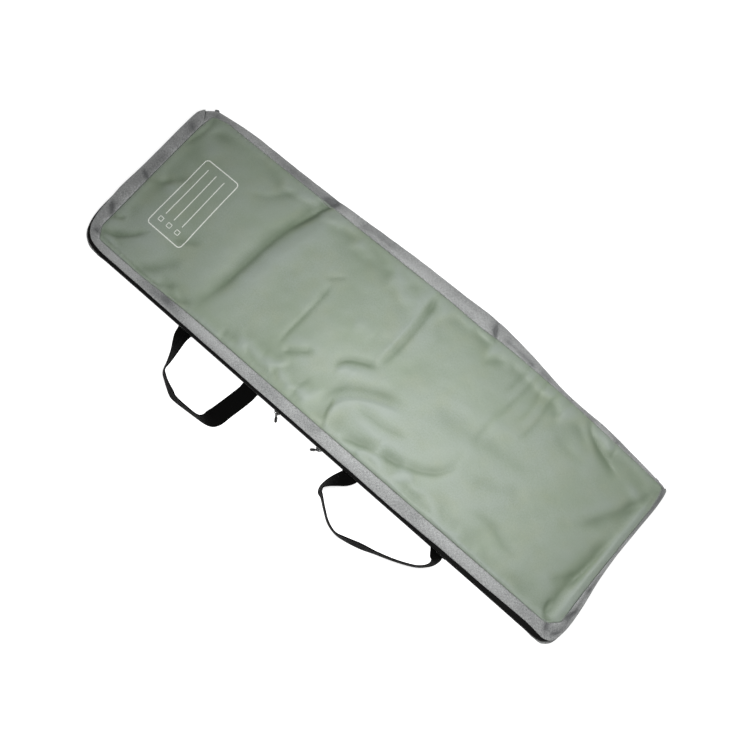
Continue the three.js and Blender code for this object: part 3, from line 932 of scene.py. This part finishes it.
def top_panel():
    points, u, v = patch(SEAM, PANEL_CELL)
    x = points[..., 0]
    y = points[..., 1]
    ends, sides = edge_gaps(points, u, v)
    gap = np.minimum(ends, sides)
    bumps = relief(x, y) * ease(gap, -2, 7)
    shift = finer(slack(SLACK_CELL), *x.shape) * ease(gap, 0, 36)[..., None]
    x = x + shift[..., 0]
    y = y + shift[..., 1]
    bumps += shift[..., 2]
    z = SEAM_Z + crowned(u, v) + bumps
    # how far the cloth stands above its surroundings, painted on as shade in the valleys and a highlight on
    # the ridges
    painted_shade_and_tint = standing(bumps, PANEL_CELL)
    z -= SEAM_DIP * np.exp(-gap / 2.2)
    z += 0.8 * pucker(x, 11) * np.exp(-sides / 12) * ease(sides, 0, 3)
    z += 0.8 * pucker(y, 12) * np.exp(-ends / 12) * ease(ends, 0, 3)
    panel = sheet("top_panel_cloth", np.stack([x, y, z, painted_shade_and_tint], -1), CLOTH)
    return own(panel, MATERIAL["printed"], "lid", ["top_panel"])


def bottom_panel():
    """The bottom panel lies on the ground, with its edge turned up into the seam."""
    inset = EDGE - OUT * 9.4
    points, u, v = patch(inset, 8.0)
    x = points[..., 0]
    y = points[..., 1]
    ends, sides = edge_gaps(points, u, v)
    gap = np.minimum(ends, sides)
    z = 1.3 + 0.5 * (1 + swell(x, y, 120, 8)) * ease(gap, 0, 20) + 0.9 * np.exp(-gap / 5)
    panel = sheet("bottom_panel_cloth", np.stack([x, y, z], -1), CLOTH)
    return own(panel, MATERIAL["green"], "base", ["bottom_panel"])


# ------------------------------------------------------------------ gussets

# How far out the upper gusset's hem stands from the edge. It draws back from the zipper along the
# front, most of all at the front right, and covers the zipper along both ends.
HEM_FRONT = [(-590, -5), (-560, -6.5), (-500, -6), (-380, -5.5), (-250, -5), (240, -5), (330, -7.5),
             (460, -9), (520, -10.5), (560, -11), (585, -7), (600, 3)]
HEM_LEFT = [(-175, -5.5), (-120, -3.5), (-90, -1.5), (-66, 3.4)]


def hem_line():
    """The hem's distance out from the edge, at each station."""
    along_front = np.interp(EDGE[:, 0], *zip(*HEM_FRONT))
    on_left = np.interp(EDGE[:, 1], *zip(*HEM_LEFT))
    hem = np.where(EDGE[:, 0] < -590, on_left, along_front)
    hem = np.where((EDGE[:, 0] > 580) & (EDGE[:, 1] > -150), 3.2, hem)
    hem = hem + 0.35 * ripple(arc_lengths(EDGE), (60, 140), 21)
    return blur(hem, 3, wrap=True)


def hem_height(out):
    """Height of the gusset's line at a distance out from the edge."""
    return HEM_Z - GUSSET_SLOPE * (out + 1.5)


HEM = hem_line()


def gusset_rows(stations, hem_out, hem_z, shares, bulge, rim, seed):
    """Rows of points from the seam out to the hem, with the puckers of both seams and soft pleats.
    rim says how much of the relief is left at the hem."""
    seam = SEAM[stations]
    hem = EDGE[stations] + OUT[stations] * hem_out[:, None]
    position = arc_lengths(EDGE)[stations]
    pleats = ripple(position, (26, 48, 90), seed)
    gathers = pucker(position, seed + 1)
    rows = []
    for t in shares:
        plan = seam + (hem - seam) * t
        width = np.linalg.norm(hem - seam, axis=1)
        z = SEAM_Z + (hem_z - SEAM_Z) * t
        z = z + bulge * math.sin(math.pi * t) ** 0.8
        z = z - SEAM_DIP * np.exp(-t * width / 2.0)
        z = z + 1.2 * pleats * math.sin(math.pi * t)
        z = z + 0.55 * gathers * (math.exp(-((t - 0.12) / 0.12) ** 2) + math.exp(-((t - 0.9) / 0.12) ** 2))
        bumps = relief(plan[:, 0], plan[:, 1]) * max(math.sin(math.pi * min(1, t + 0.08)) ** 0.6, rim * t)
        # painted shading: shade and highlight from the relief and pleats, and painted shade in the seam and
        # along the hem
        painted_gusset_shading = bumps + 0.5 * pleats * math.sin(math.pi * t) - SEAM_SHADE * np.exp(-t * width / 1.4)
        painted_gusset_shading = painted_gusset_shading - RIM_SHADE * np.exp(-(1 - t) * width / 1.8)
        rows.append(np.column_stack([plan, z + bumps, painted_gusset_shading]))
    return rows


def upper_rows(stations, shares):
    hem_out = HEM[stations]
    return gusset_rows(stations, hem_out, hem_height(hem_out), shares, 1.6, 0, 31)


def upper_gusset():
    """From the seam out to the hem, which is folded under."""
    stations = np.arange(ZIPPED + 1)
    shares = [0, 0.02, 0.05, 0.1, 0.17, 0.25, 0.34, 0.44, 0.54, 0.64, 0.74, 0.83, 0.9, 0.95, 1.0]
    rows = upper_rows(stations, shares)
    hem_z = rows[-1][:, 2]
    for inset, drop in ((0.3, 0.9), (2.5, 0.95)):
        plan = EDGE[stations] + OUT[stations] * (HEM[stations] - inset)[:, None]
        # painted shade on the rows folded under the hem
        rows.append(np.column_stack([plan, hem_z - drop, np.full(len(plan), -RIM_SHADE)]))
    cloth = sheet("upper_gusset_cloth", rows, GUSSET_CLOTH)
    nodes = ["upper_gusset_front", "upper_gusset_left_end", "upper_gusset_right_end"]
    return own(cloth, MATERIAL["grey"], "lid", nodes)


def lower_gusset():
    """From the lower tape, under the zipper, in to the bottom panel. It bulges at the near corners."""
    stations = np.arange(ZIPPED + 1)
    edge = EDGE[stations]
    out = OUT[stations]
    position = arc_lengths(EDGE)[stations]
    bulge = (5.5 * np.exp(-(((edge - (-590, -178)) ** 2).sum(1)) / 45**2)
             + 6.5 * np.exp(-(((edge - (594, -181)) ** 2).sum(1)) / 25**2))
    pleats = ripple(position, (24, 55), 41)
    section = [(-2.6, 10.6, 0), (-0.6, 10.0, 0.3), (0.5, 9.2, 0.6), (0.6, 8.2, 0.9), (-0.6, 6.9, 1),
               (-2.8, 5.3, 0.9), (-5.2, 3.7, 0.6), (-7.4, 2.6, 0.3), (-9.4, 2.0, 0)]
    rows = []
    for offset, z, share in section:
        plan = edge + out * (offset + share * (bulge + 0.5 * pleats))[:, None]
        rows.append(with_z(plan, z + 0.3 * share * pleats))
    cloth = sheet("lower_gusset_cloth", rows, GUSSET_CLOTH)
    nodes = ["lower_gusset_front", "lower_gusset_left_end", "lower_gusset_right_end"]
    return own(cloth, MATERIAL["grey"], "base", nodes)


def back_gusset():
    """One folded strip along the back, from the top seam round the fold to the bottom panel."""
    stations = np.arange(ZIPPED - 1, len(EDGE) + 1) % len(EDGE)
    edge = EDGE[stations]
    out = OUT[stations]
    fold_out = np.full(len(stations), -1.6)
    fold_z = np.full(len(stations), 19.6)
    shares = [0, 0.03, 0.07, 0.13, 0.2, 0.29, 0.39, 0.5, 0.61, 0.72, 0.82, 0.9, 0.96, 1.0]
    rows = gusset_rows(stations, fold_out, fold_z, shares, 1.4, BACK_RIM, 51)
    bumps = BACK_RIM * relief(edge[:, 0], edge[:, 1])
    pleats = ripple(arc_lengths(EDGE)[stations], (40, 75), 61)
    fold = [(-0.7, 18.9), (-0.3, 18.0), (-0.5, 17.0), (-1.4, 15.6), (-2.9, 13.2), (-4.6, 10.4),
            (-6.3, 7.4), (-7.9, 4.8), (-9.2, 2.9), (-9.6, 2.0)]
    for i, (offset, z) in enumerate(fold):
        share = math.sin(math.pi * i / (len(fold) - 1))
        plan = edge + out * (offset + 0.8 * share * pleats)[:, None]
        height = z + bumps * (1 - i / (len(fold) - 1)) ** 2
        # painted shade on the rows round the fold
        rows.append(np.column_stack([plan, height, np.full(len(plan), -RIM_SHADE)]))
    cloth = sheet("back_gusset_cloth", rows, GUSSET_CLOTH)
    own(cloth, MATERIAL["grey"], None, ["back_gusset_upper_fold", "back_gusset_lower_fold"])
    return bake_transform(cloth)


# ------------------------------------------------------------------ zipper

def edge_rail(spacing):
    """The zipped part of the edge, evenly sampled, with its outward direction and its running length."""
    line = EDGE[: ZIPPED + 1]
    count = int(arc_lengths(line)[-1] / spacing) + 1
    even = resample(line, count)
    return even, outward(even, closed=False), np.arange(count) * arc_lengths(even)[-1] / (count - 1)


def coil_shift(line):
    """1 between the sliders, where the coils have parted, and 0 where they mesh."""
    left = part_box("left_slider")[1].x / MM
    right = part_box("right_slider")[0].x / MM
    x = line[:, 0]
    front = line[:, 1] < -180
    return ease(x, left, left + 14) * ease(-x, -right, -right + 14) * front


def waviness(line):
    """The slight wander of a zipper that isn't under tension."""
    return 0.7 * ripple(line[:, 0] + line[:, 1], (120, 210), 71)


def coil(name, sign):
    """Half of the zipper as one wound filament."""
    per_turn = 10
    line, out, length = edge_rail(COIL_PITCH / per_turn)
    phase = length * 2 * math.pi / COIL_PITCH + (0 if sign > 0 else math.pi)
    middle = COIL_MIDDLE[name] + sign * COIL_SPREAD * coil_shift(line) + waviness(line)
    radial = 0.9 + COIL_HALF[0] * np.sin(phase)
    path = with_z(line + out * radial[:, None], middle + COIL_HALF[1] * np.cos(phase))
    vertices, faces = tube_along(path, COIL_WIRE, 5)
    obj = make_object(f"{name}_coil_filament", vertices, faces)
    body = "lid" if sign > 0 else "base"
    return own(obj, MATERIAL["coil"], body, [f"{name}_zipper_coil"])


def hem_beside(length):
    """The hem's distance out, at running lengths along the zipped edge."""
    return np.interp(length, arc_lengths(EDGE[: ZIPPED + 1]), HEM[: ZIPPED + 1])


def upper_tape():
    """From under the hem, down the gusset's slope and over to the upper coil."""
    line, out, length = edge_rail(3)
    lift = waviness(line) + COIL_SPREAD * coil_shift(line)
    start = np.minimum(hem_beside(length) - 5, -7)
    rows = []
    for share in np.linspace(0, 1, 12):
        offset = start + (-1.6 - start) * share
        rows.append(with_z(line + out * offset[:, None], hem_height(offset) - 1.7 + lift * share**3))
    for offset, z in [(-0.7, 18.4), (0.0, 17.6), (0.2, 16.6)]:
        rows.append(with_z(line + out * offset, z + lift))
    tape = sheet("upper_tape_cloth", rows, TAPE)
    return own(tape, MATERIAL["tape"], "lid", ["upper_zipper_tape"])


def lower_tape():
    """From the lower coil, under the zipper and in to the lower gusset."""
    line, out, _ = edge_rail(3)
    lift = waviness(line) - COIL_SPREAD * coil_shift(line)
    rows = []
    for offset, z in [(0.2, 13.0), (0.1, 12.2), (-0.5, 11.2), (-1.8, 10.2), (-3.4, 9.3), (-5.2, 8.6)]:
        rows.append(with_z(line + out * offset, z + math.exp(-abs(offset) / 3) * lift))
    tape = sheet("lower_tape_cloth", rows, TAPE)
    return own(tape, MATERIAL["tape"], "base", ["lower_zipper_tape"])


def end_tab(side):
    """The folded tape that covers one end of the zipper."""
    node = f"zipper_end_tab_{side}"
    low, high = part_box(node)
    centre = np.array((low.x + high.x, low.y + high.y)) / 2 / MM
    stations = int(np.linalg.norm(EDGE - centre, axis=1).argmin()) + np.arange(-1, 3)
    rows = []
    for share, z in [(-1, 16.3), (0.35, 16.7), (0.85, 15.3), (1, 12.4), (0.85, 9.3), (0.3, 7.4), (-1, 6.9)]:
        reach = 2 * share if share < 0 else END_TAB_PROUD[side] * share
        rows.append(with_z(EDGE[stations] + OUT[stations] * reach, z))
    tab = sheet(f"{node}_tape", [np.column_stack([row, np.full(len(row), -3)]) for row in rows], TAPE)
    return own(tab, MATERIAL["grey"], "base", [node])


def plate(name, outline, low, high, bevel, holes=()):
    """A flat part from an outline in its own plane (along, up), between two depths, with rounded edges."""
    mesh = bmesh.new()
    loops = [outline, *holes]
    edges = []
    for loop in loops:
        made = [mesh.verts.new((a * MM, low * MM, b * MM)) for a, b in loop]
        edges += [mesh.edges.new((made[i], made[(i + 1) % len(made)])) for i in range(len(made))]
    filled_faces = bmesh.ops.triangle_fill(mesh, edges=edges, use_beauty=True)["geom"]
    faces = [f for f in filled_faces if isinstance(f, bmesh.types.BMFace)]
    raised = bmesh.ops.extrude_face_region(mesh, geom=faces)["geom"]
    verts = [v for v in raised if isinstance(v, bmesh.types.BMVert)]
    bmesh.ops.translate(mesh, verts=verts, vec=(0, (high - low) * MM, 0))
    bmesh.ops.recalc_face_normals(mesh, faces=mesh.faces)
    data = bpy.data.meshes.new(name)
    mesh.to_mesh(data)
    mesh.free()
    obj = placed(name, data)
    rounded(obj, bevel, 3)
    applied(obj)
    obj.data.shade_smooth()
    obj.data.set_sharp_from_angle(angle=math.radians(50))
    return obj


def joined(name, parts):
    """Several meshes as one piece."""
    mesh = bmesh.new()
    for part in parts:
        part.data.transform(part.matrix_world)
        mesh.from_mesh(part.data)
    data = bpy.data.meshes.new(name)
    mesh.to_mesh(data)
    mesh.free()
    for part in parts:
        bpy.data.objects.remove(part)
    return placed(name, data)


def oval(half_length, half_height, centre=(0, 0), steps=8, corner=None):
    """A rounded rectangle, as points that run counterclockwise."""
    r = corner if corner is not None else min(half_length, half_height)
    points = []
    for quarter in range(4):
        cx = (half_length - r) * (1 if quarter in (0, 3) else -1)
        cy = (half_height - r) * (1 if quarter in (0, 1) else -1)
        for step in range(steps + 1):
            angle = (quarter + step / steps) * math.pi / 2
            points.append((centre[0] + cx + r * math.cos(angle), centre[1] + cy + r * math.sin(angle)))
    return points


def shield(length, wide, narrow):
    """The outline of a slider's plate: broad shoulders at one end, narrowing to the other."""
    top = curve_through([(-length / 2, narrow * 0.8), (-length * 0.35, narrow),
                         (0, (wide + narrow) / 2 - 0.3), (length * 0.3, wide),
                         (length / 2 - 0.8, wide * 0.86), (length / 2, wide * 0.4)], 0.9)
    bottom = top[::-1] * (1, -1)
    return [tuple(p) for p in np.concatenate([top, bottom])]


def slider(side, mouth):
    """A slider: two plates, the post between them and the arch that holds the pull tab."""
    low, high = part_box(f"{side}_slider")
    middle = (low.x + high.x) / 2 / MM
    z = (low.z + high.z) / 2 / MM
    edge_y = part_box("lower_gusset_front")[0].y / MM + 0.8
    outline = [(mouth * a, b) for a, b in shield(14, 4.4, 3.1)]
    outer = plate(f"{side}_outer", outline, edge_y - 4.0, edge_y - 2.7, 0.45)
    inner = plate(f"{side}_inner", [(a, b * 0.92) for a, b in outline], edge_y + 0.5, edge_y + 1.6, 0.4)
    post = plate(f"{side}_post", [(mouth * a, b) for a, b in [(1.0, 0), (3.2, 1.3), (6, 0), (3.2, -1.3)]],
                 edge_y - 2.8, edge_y + 0.6, 0.25)
    lips = [plate(f"{side}_lip_{k}", [(mouth * a, b + k * 3.9) for a, b in oval(5.4, 0.45)],
                  edge_y - 3.2, edge_y - 1.7, 0.3) for k in (-1, 1)]
    path = curve_through([(-4.2, 0, 0), (-4.0, -2.0, 0), (-2.2, -2.9, 0), (0, -3.1, 0), (2.2, -2.9, 0),
                          (4.0, -2.0, 0), (4.2, 0, 0)], 0.6)
    vertices, faces = tube_along(path + (0, edge_y - 3.7, 0), 0.75, 10)
    arch = make_object(f"{side}_arch", vertices, faces)
    arch.data.transform(Matrix.Diagonal((1, 1, 1.6, 1)))
    piece = joined(f"{side}_slider_metal", [outer, inner, post, *lips, arch])
    piece.location = (middle * MM, 0, z * MM)
    bpy.context.view_layer.update()
    piece.data.transform(piece.matrix_world)
    piece.location = (0, 0, 0)
    return own(piece, MATERIAL["metal"], f"{side}_slider", [f"{side}_slider"])


def pull_tab(side):
    """A pull tab: a window for the arch, a waist, and a ribbed grip. It hangs down to the ground."""
    joint = next(j for j in frame["joints"] if j["name"] == f"{side}_pull_swing")
    pivot = Vector(joint["pos_m"])
    low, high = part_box(f"{side}_pull_tab")
    centre = (low + high) / 2
    heading = math.atan2(centre.y - pivot.y, centre.x - pivot.x)
    neck = curve_through([(-0.8, 3.1), (2.0, 3.4), (5.5, 3.2), (8.0, 2.0), (11, 2.1), (15, 3.1),
                          (18.5, 3.0), (19.8, 1.6), (20, 0)], 0.8)
    outline = [tuple(p) for p in neck] + [tuple(p) for p in (neck[:-1] * (1, -1))[::-1]]
    window = oval(2.6, 1.9, (3.0, 0), 5, 1.2)
    hole = oval(2.2, 1.1, (15.6, 0), 5)
    tab = plate(f"{side}_pull_metal", outline, -0.8, 0.8, 0.3, [window, hole])
    grip_hole = oval(1.9, 0.9, (15.6, 0), 5)
    grip = plate(f"{side}_grip", oval(5.6, 2.7, (13.3, 0), 6, 2.4), -2.0, 2.0, 0.7, [grip_hole])
    ribs = [plate(f"{side}_rib_{i}", oval(0.35, 1.8, (10.0 + 1.3 * i, 0), 4), -2.3, 2.3, 0.2)
            for i in range(2)]
    piece = joined(f"{side}_pull_metal_piece", [tab, grip, *ribs])
    piece.data.transform(Matrix.Rotation(math.radians(PULL_LEAN), 4, "X"))
    piece.data.transform(Matrix.Rotation(math.radians(PULL_DROOP), 4, "Y"))
    piece.data.transform(Matrix.Rotation(heading, 4, "Z"))
    piece.data.transform(Matrix.Translation((pivot.x, pivot.y, centre.z)))
    piece.name = f"{side}_pull_metal"
    return own(piece, MATERIAL["metal"], f"{side}_pull", [f"{side}_pull_tab"])


# ------------------------------------------------------------------ handles

def band_section(width, thickness, count=10):
    """A flat band's cross-section with rounded edges, as (across, through) pairs."""
    half = width / 2 - thickness / 2
    right = [(half + thickness / 2 * math.cos(a), thickness / 2 * math.sin(a))
             for a in np.linspace(-math.pi / 2, math.pi / 2, 5)]
    top = [(x, thickness / 2) for x in np.linspace(half, -half, count)[1:-1]]
    left = [(-x, -y) for x, y in right]
    bottom = [(-x, -y) for x, y in top]
    return right + top + left + bottom


def strap(name, points, nodes):
    """A webbing strap through points (x, y, z, turn). Turn 0 lies flat, -1 stands on edge with the side
    that faces the inside of the loop up."""
    line = curve_through(points, 2.5)
    path = line[:, :3]
    turn = line[:, 3] * math.pi / 2
    along = unit(np.gradient(path, axis=0))
    side = unit(np.cross(along, (0, 0, 1.0)))
    up = np.array((0, 0, 1.0))
    across = unit(side * np.cos(turn)[:, None] + up * np.sin(turn)[:, None])
    through = unit(np.cross(along, across))
    section = np.array(band_section(*WEBBING))
    cup = 0.25 * (section[:, 0] / (WEBBING[0] / 2)) ** 2
    rings = (path[:, None] + across[:, None] * section[None, :, :1]
             + through[:, None] * (section[None, :, 1:] + cup[None, :, None]))
    count, sides = rings.shape[:2]
    faces, at_row, at_column = grid_faces(count, sides, True)
    lengths = arc_lengths(path)
    widths = np.append(section[:, 0], section[0, 0])
    uvs = np.stack([lengths[at_row], widths[at_column]], -1)
    obj = make_object(name, rings.reshape(-1, 3), faces, uvs.reshape(-1, 2))
    own(obj, MATERIAL["webbing"], None, nodes)
    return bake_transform(obj)


def middle_of(node):
    low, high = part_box(node)
    return (low.x + high.x) / 2 / MM


def sewn_lead(x, turn):
    """The end of a strap where it is sewn on the lower gusset, and the way it leaves it."""
    return [(x, -187.5, 2.2, 0), (x, -190.5, 4.0, 0), (x, -194.5, 7.0, 0), (x, -199, 8.2 - 6 * turn, turn)]


def resting(x, y, turn):
    """A point of a strap that rests on the ground on its lower side."""
    angle = abs(turn) * math.pi / 2
    return x, y, max(5.0, WEBBING[0] / 2 * math.sin(angle) + 1.6), turn


# The loop of each handle over the plan, from its left end to its right end: x, y and turn.
LEFT_LOOP = [(-311, -207, -0.24), (-307, -218, -0.38), (-299, -237, -0.56), (-292, -259, -0.69),
             (-286, -281, -0.8), (-273, -291, -0.82), (-260, -298, -0.8), (-243, -305, -0.76),
             (-227, -308, -0.85), (-197, -307, -0.9), (-172, -305, -0.9), (-160, -300, -0.74),
             (-153, -291, -0.4), (-150, -279, -0.12), (-147, -262, 0), (-142, -236, 0), (-138, -212, 0)]
RIGHT_LOOP = [(116, -207, -0.34), (107, -220, -0.52), (99, -234, -0.7), (95, -247, -0.83), (99, -257, -0.84),
              (108, -262, -0.9), (127, -276, -0.92), (149, -290, -0.93), (172, -296, -0.95),
              (194, -292, -0.89), (224, -283, -0.845), (252, -274, -0.92), (286, -262, -0.95),
              (315, -249, -0.955), (331, -239, -0.95), (342, -227, -0.92), (346, -216, -0.8),
              (344, -207, -0.58)]


def handles():
    for side, loop, left_end, right_end in (("left", LEFT_LOOP, "outer", "inner"),
                                            ("right", RIGHT_LOOP, "inner", "outer")):
        ends = [f"{side}_handle_{end}_sewn_end" for end in (left_end, right_end)]
        points = sewn_lead(middle_of(ends[0]), loop[0][2] * 0.8)
        points += [resting(*point) for point in loop]
        points += sewn_lead(middle_of(ends[1]), loop[-1][2] * 0.8)[::-1]
        strap(f"{side}_handle_webbing", points, [f"{side}_handle", *ends])


# ------------------------------------------------------------------ stitching

def stitch_row(name, path, normals, body):
    """A row of thread stitches lying on a line of points."""
    s = arc_lengths(path)
    starts = np.arange(1, s[-1] - STITCH_LENGTH, STITCH_LENGTH + STITCH_GAP)
    shares = np.linspace(0, 1, 5)
    lift = np.sin(shares * math.pi) * THREAD_RADIUS * 1.2 - THREAD_RADIUS * 0.4
    vertices = []
    faces = []
    for start in starts:
        at = start + shares * STITCH_LENGTH
        centre = np.stack([np.interp(at, s, path[:, k]) for k in range(3)], -1)
        normal = unit(np.stack([np.interp(at, s, normals[:, k]) for k in range(3)], -1))
        centre = centre + normal * lift[:, None]
        ring, quads = tube_along(centre, THREAD_RADIUS, 5)
        faces += [[v + len(vertices) for v in quad] for quad in quads.tolist()]
        vertices += ring.tolist()
    obj = make_object(name, vertices, faces)
    return own(obj, MATERIAL["thread"], body)


def hem_stitches():
    """The row that holds the upper gusset's hem to the zipper tape."""
    stations = np.arange(ZIPPED + 1)
    share = 0.88
    shares = [share - 0.03, share, share + 0.03]
    inner, path, outer = (row[4:-4, :3] for row in upper_rows(stations, shares))
    along = unit(np.gradient(path, axis=0))
    normals = unit(np.cross(along, unit(outer - inner)))
    normals *= np.sign(normals[:, 2:3])
    stitch_row("upper_hem_stitching", path + normals * 0.1, normals, "lid")


# ------------------------------------------------------------------ carried-over nodes

def finish_node(node, material, bevel):
    """A CAD node that stays, with rounded edges and its own material."""
    obj = frame["nodes"][node]
    obj.data.materials.clear()
    obj.data.materials.append(material)
    rounded(obj, bevel, 2)


def small_nodes():
    for node in ("top_seam_binding", "bottom_seam_binding"):
        finish_node(node, MATERIAL["binding"], 0.15)
    for handle in ("left_handle", "right_handle"):
        for end in ("outer", "inner"):
            finish_node(f"{handle}_{end}_patch", MATERIAL["binding"], 0.2)


# ------------------------------------------------------------------ stage

def floor():
    mesh = bpy.data.meshes.new("floor")
    size = 12
    corners = [(-size, -size, 0), (size, -size, 0), (size, size, 0), (-size, size, 0)]
    mesh.from_pydata(corners, [], [(0, 1, 2, 3)])
    obj = placed("floor", mesh)
    shader = Shader("pale_floor")
    shader.done((0.9, 0.9, 0.9), 0.9, Emission_Color=(1, 1, 1, 1), Emission_Strength=0.8)
    obj.data.materials.append(shader.material)
    obj.location.z = -0.0005


def aim(obj, location, direction):
    """Puts a light or camera in its place and turns it to look along a direction."""
    obj.location = location
    obj.rotation_mode = "QUATERNION"
    obj.rotation_quaternion = direction.to_track_quat("-Z", "Y")


def area_light(name, location, size, power, target):
    data = bpy.data.lights.new(name, "AREA")
    data.shape = "DISK"
    data.size = size
    data.energy = power
    obj = placed(name, data)
    aim(obj, location, Vector(target) - Vector(location))
    obj.visible_camera = False


def lights():
    area_light("key", (0.12, -0.13, 0.96), 0.2, 8.6, (0.10, -0.12, 0))
    area_light("fill", (1.3, 0.5, 1.3), 0.8, 3, (0.1, 0, 0))
    world = bpy.data.worlds.new("studio")
    world.use_nodes = True
    world.node_tree.nodes["Background"].inputs["Color"].default_value = (1, 1, 1, 1)
    world.node_tree.nodes["Background"].inputs["Strength"].default_value = 0.18
    bpy.context.scene.world = world
    bpy.context.scene.view_settings.view_transform = "Standard"


def camera():
    azimuth = math.radians(CAMERA["azimuth"])
    elevation = math.radians(CAMERA["elevation"])
    back = Vector((math.sin(azimuth) * math.cos(elevation), -math.cos(azimuth) * math.cos(elevation),
                   math.sin(elevation)))
    data = bpy.data.cameras.new("camera")
    data.lens = CAMERA["lens"]
    data.sensor_width = 36
    obj = placed("camera", data)
    aim(obj, (Vector(CAMERA["target"]) + back * CAMERA["distance"]) * MM, -back)
    bpy.context.scene.camera = obj


# ------------------------------------------------------------------ the bag

top_panel()
bottom_panel()
upper_gusset()
lower_gusset()
back_gusset()
upper_tape()
lower_tape()
coil("upper", 1)
coil("lower", -1)
end_tab("left")
end_tab("right")
slider("left", 1)
slider("right", -1)
pull_tab("left")
pull_tab("right")
handles()
hem_stitches()
small_nodes()
floor()
lights()
camera()
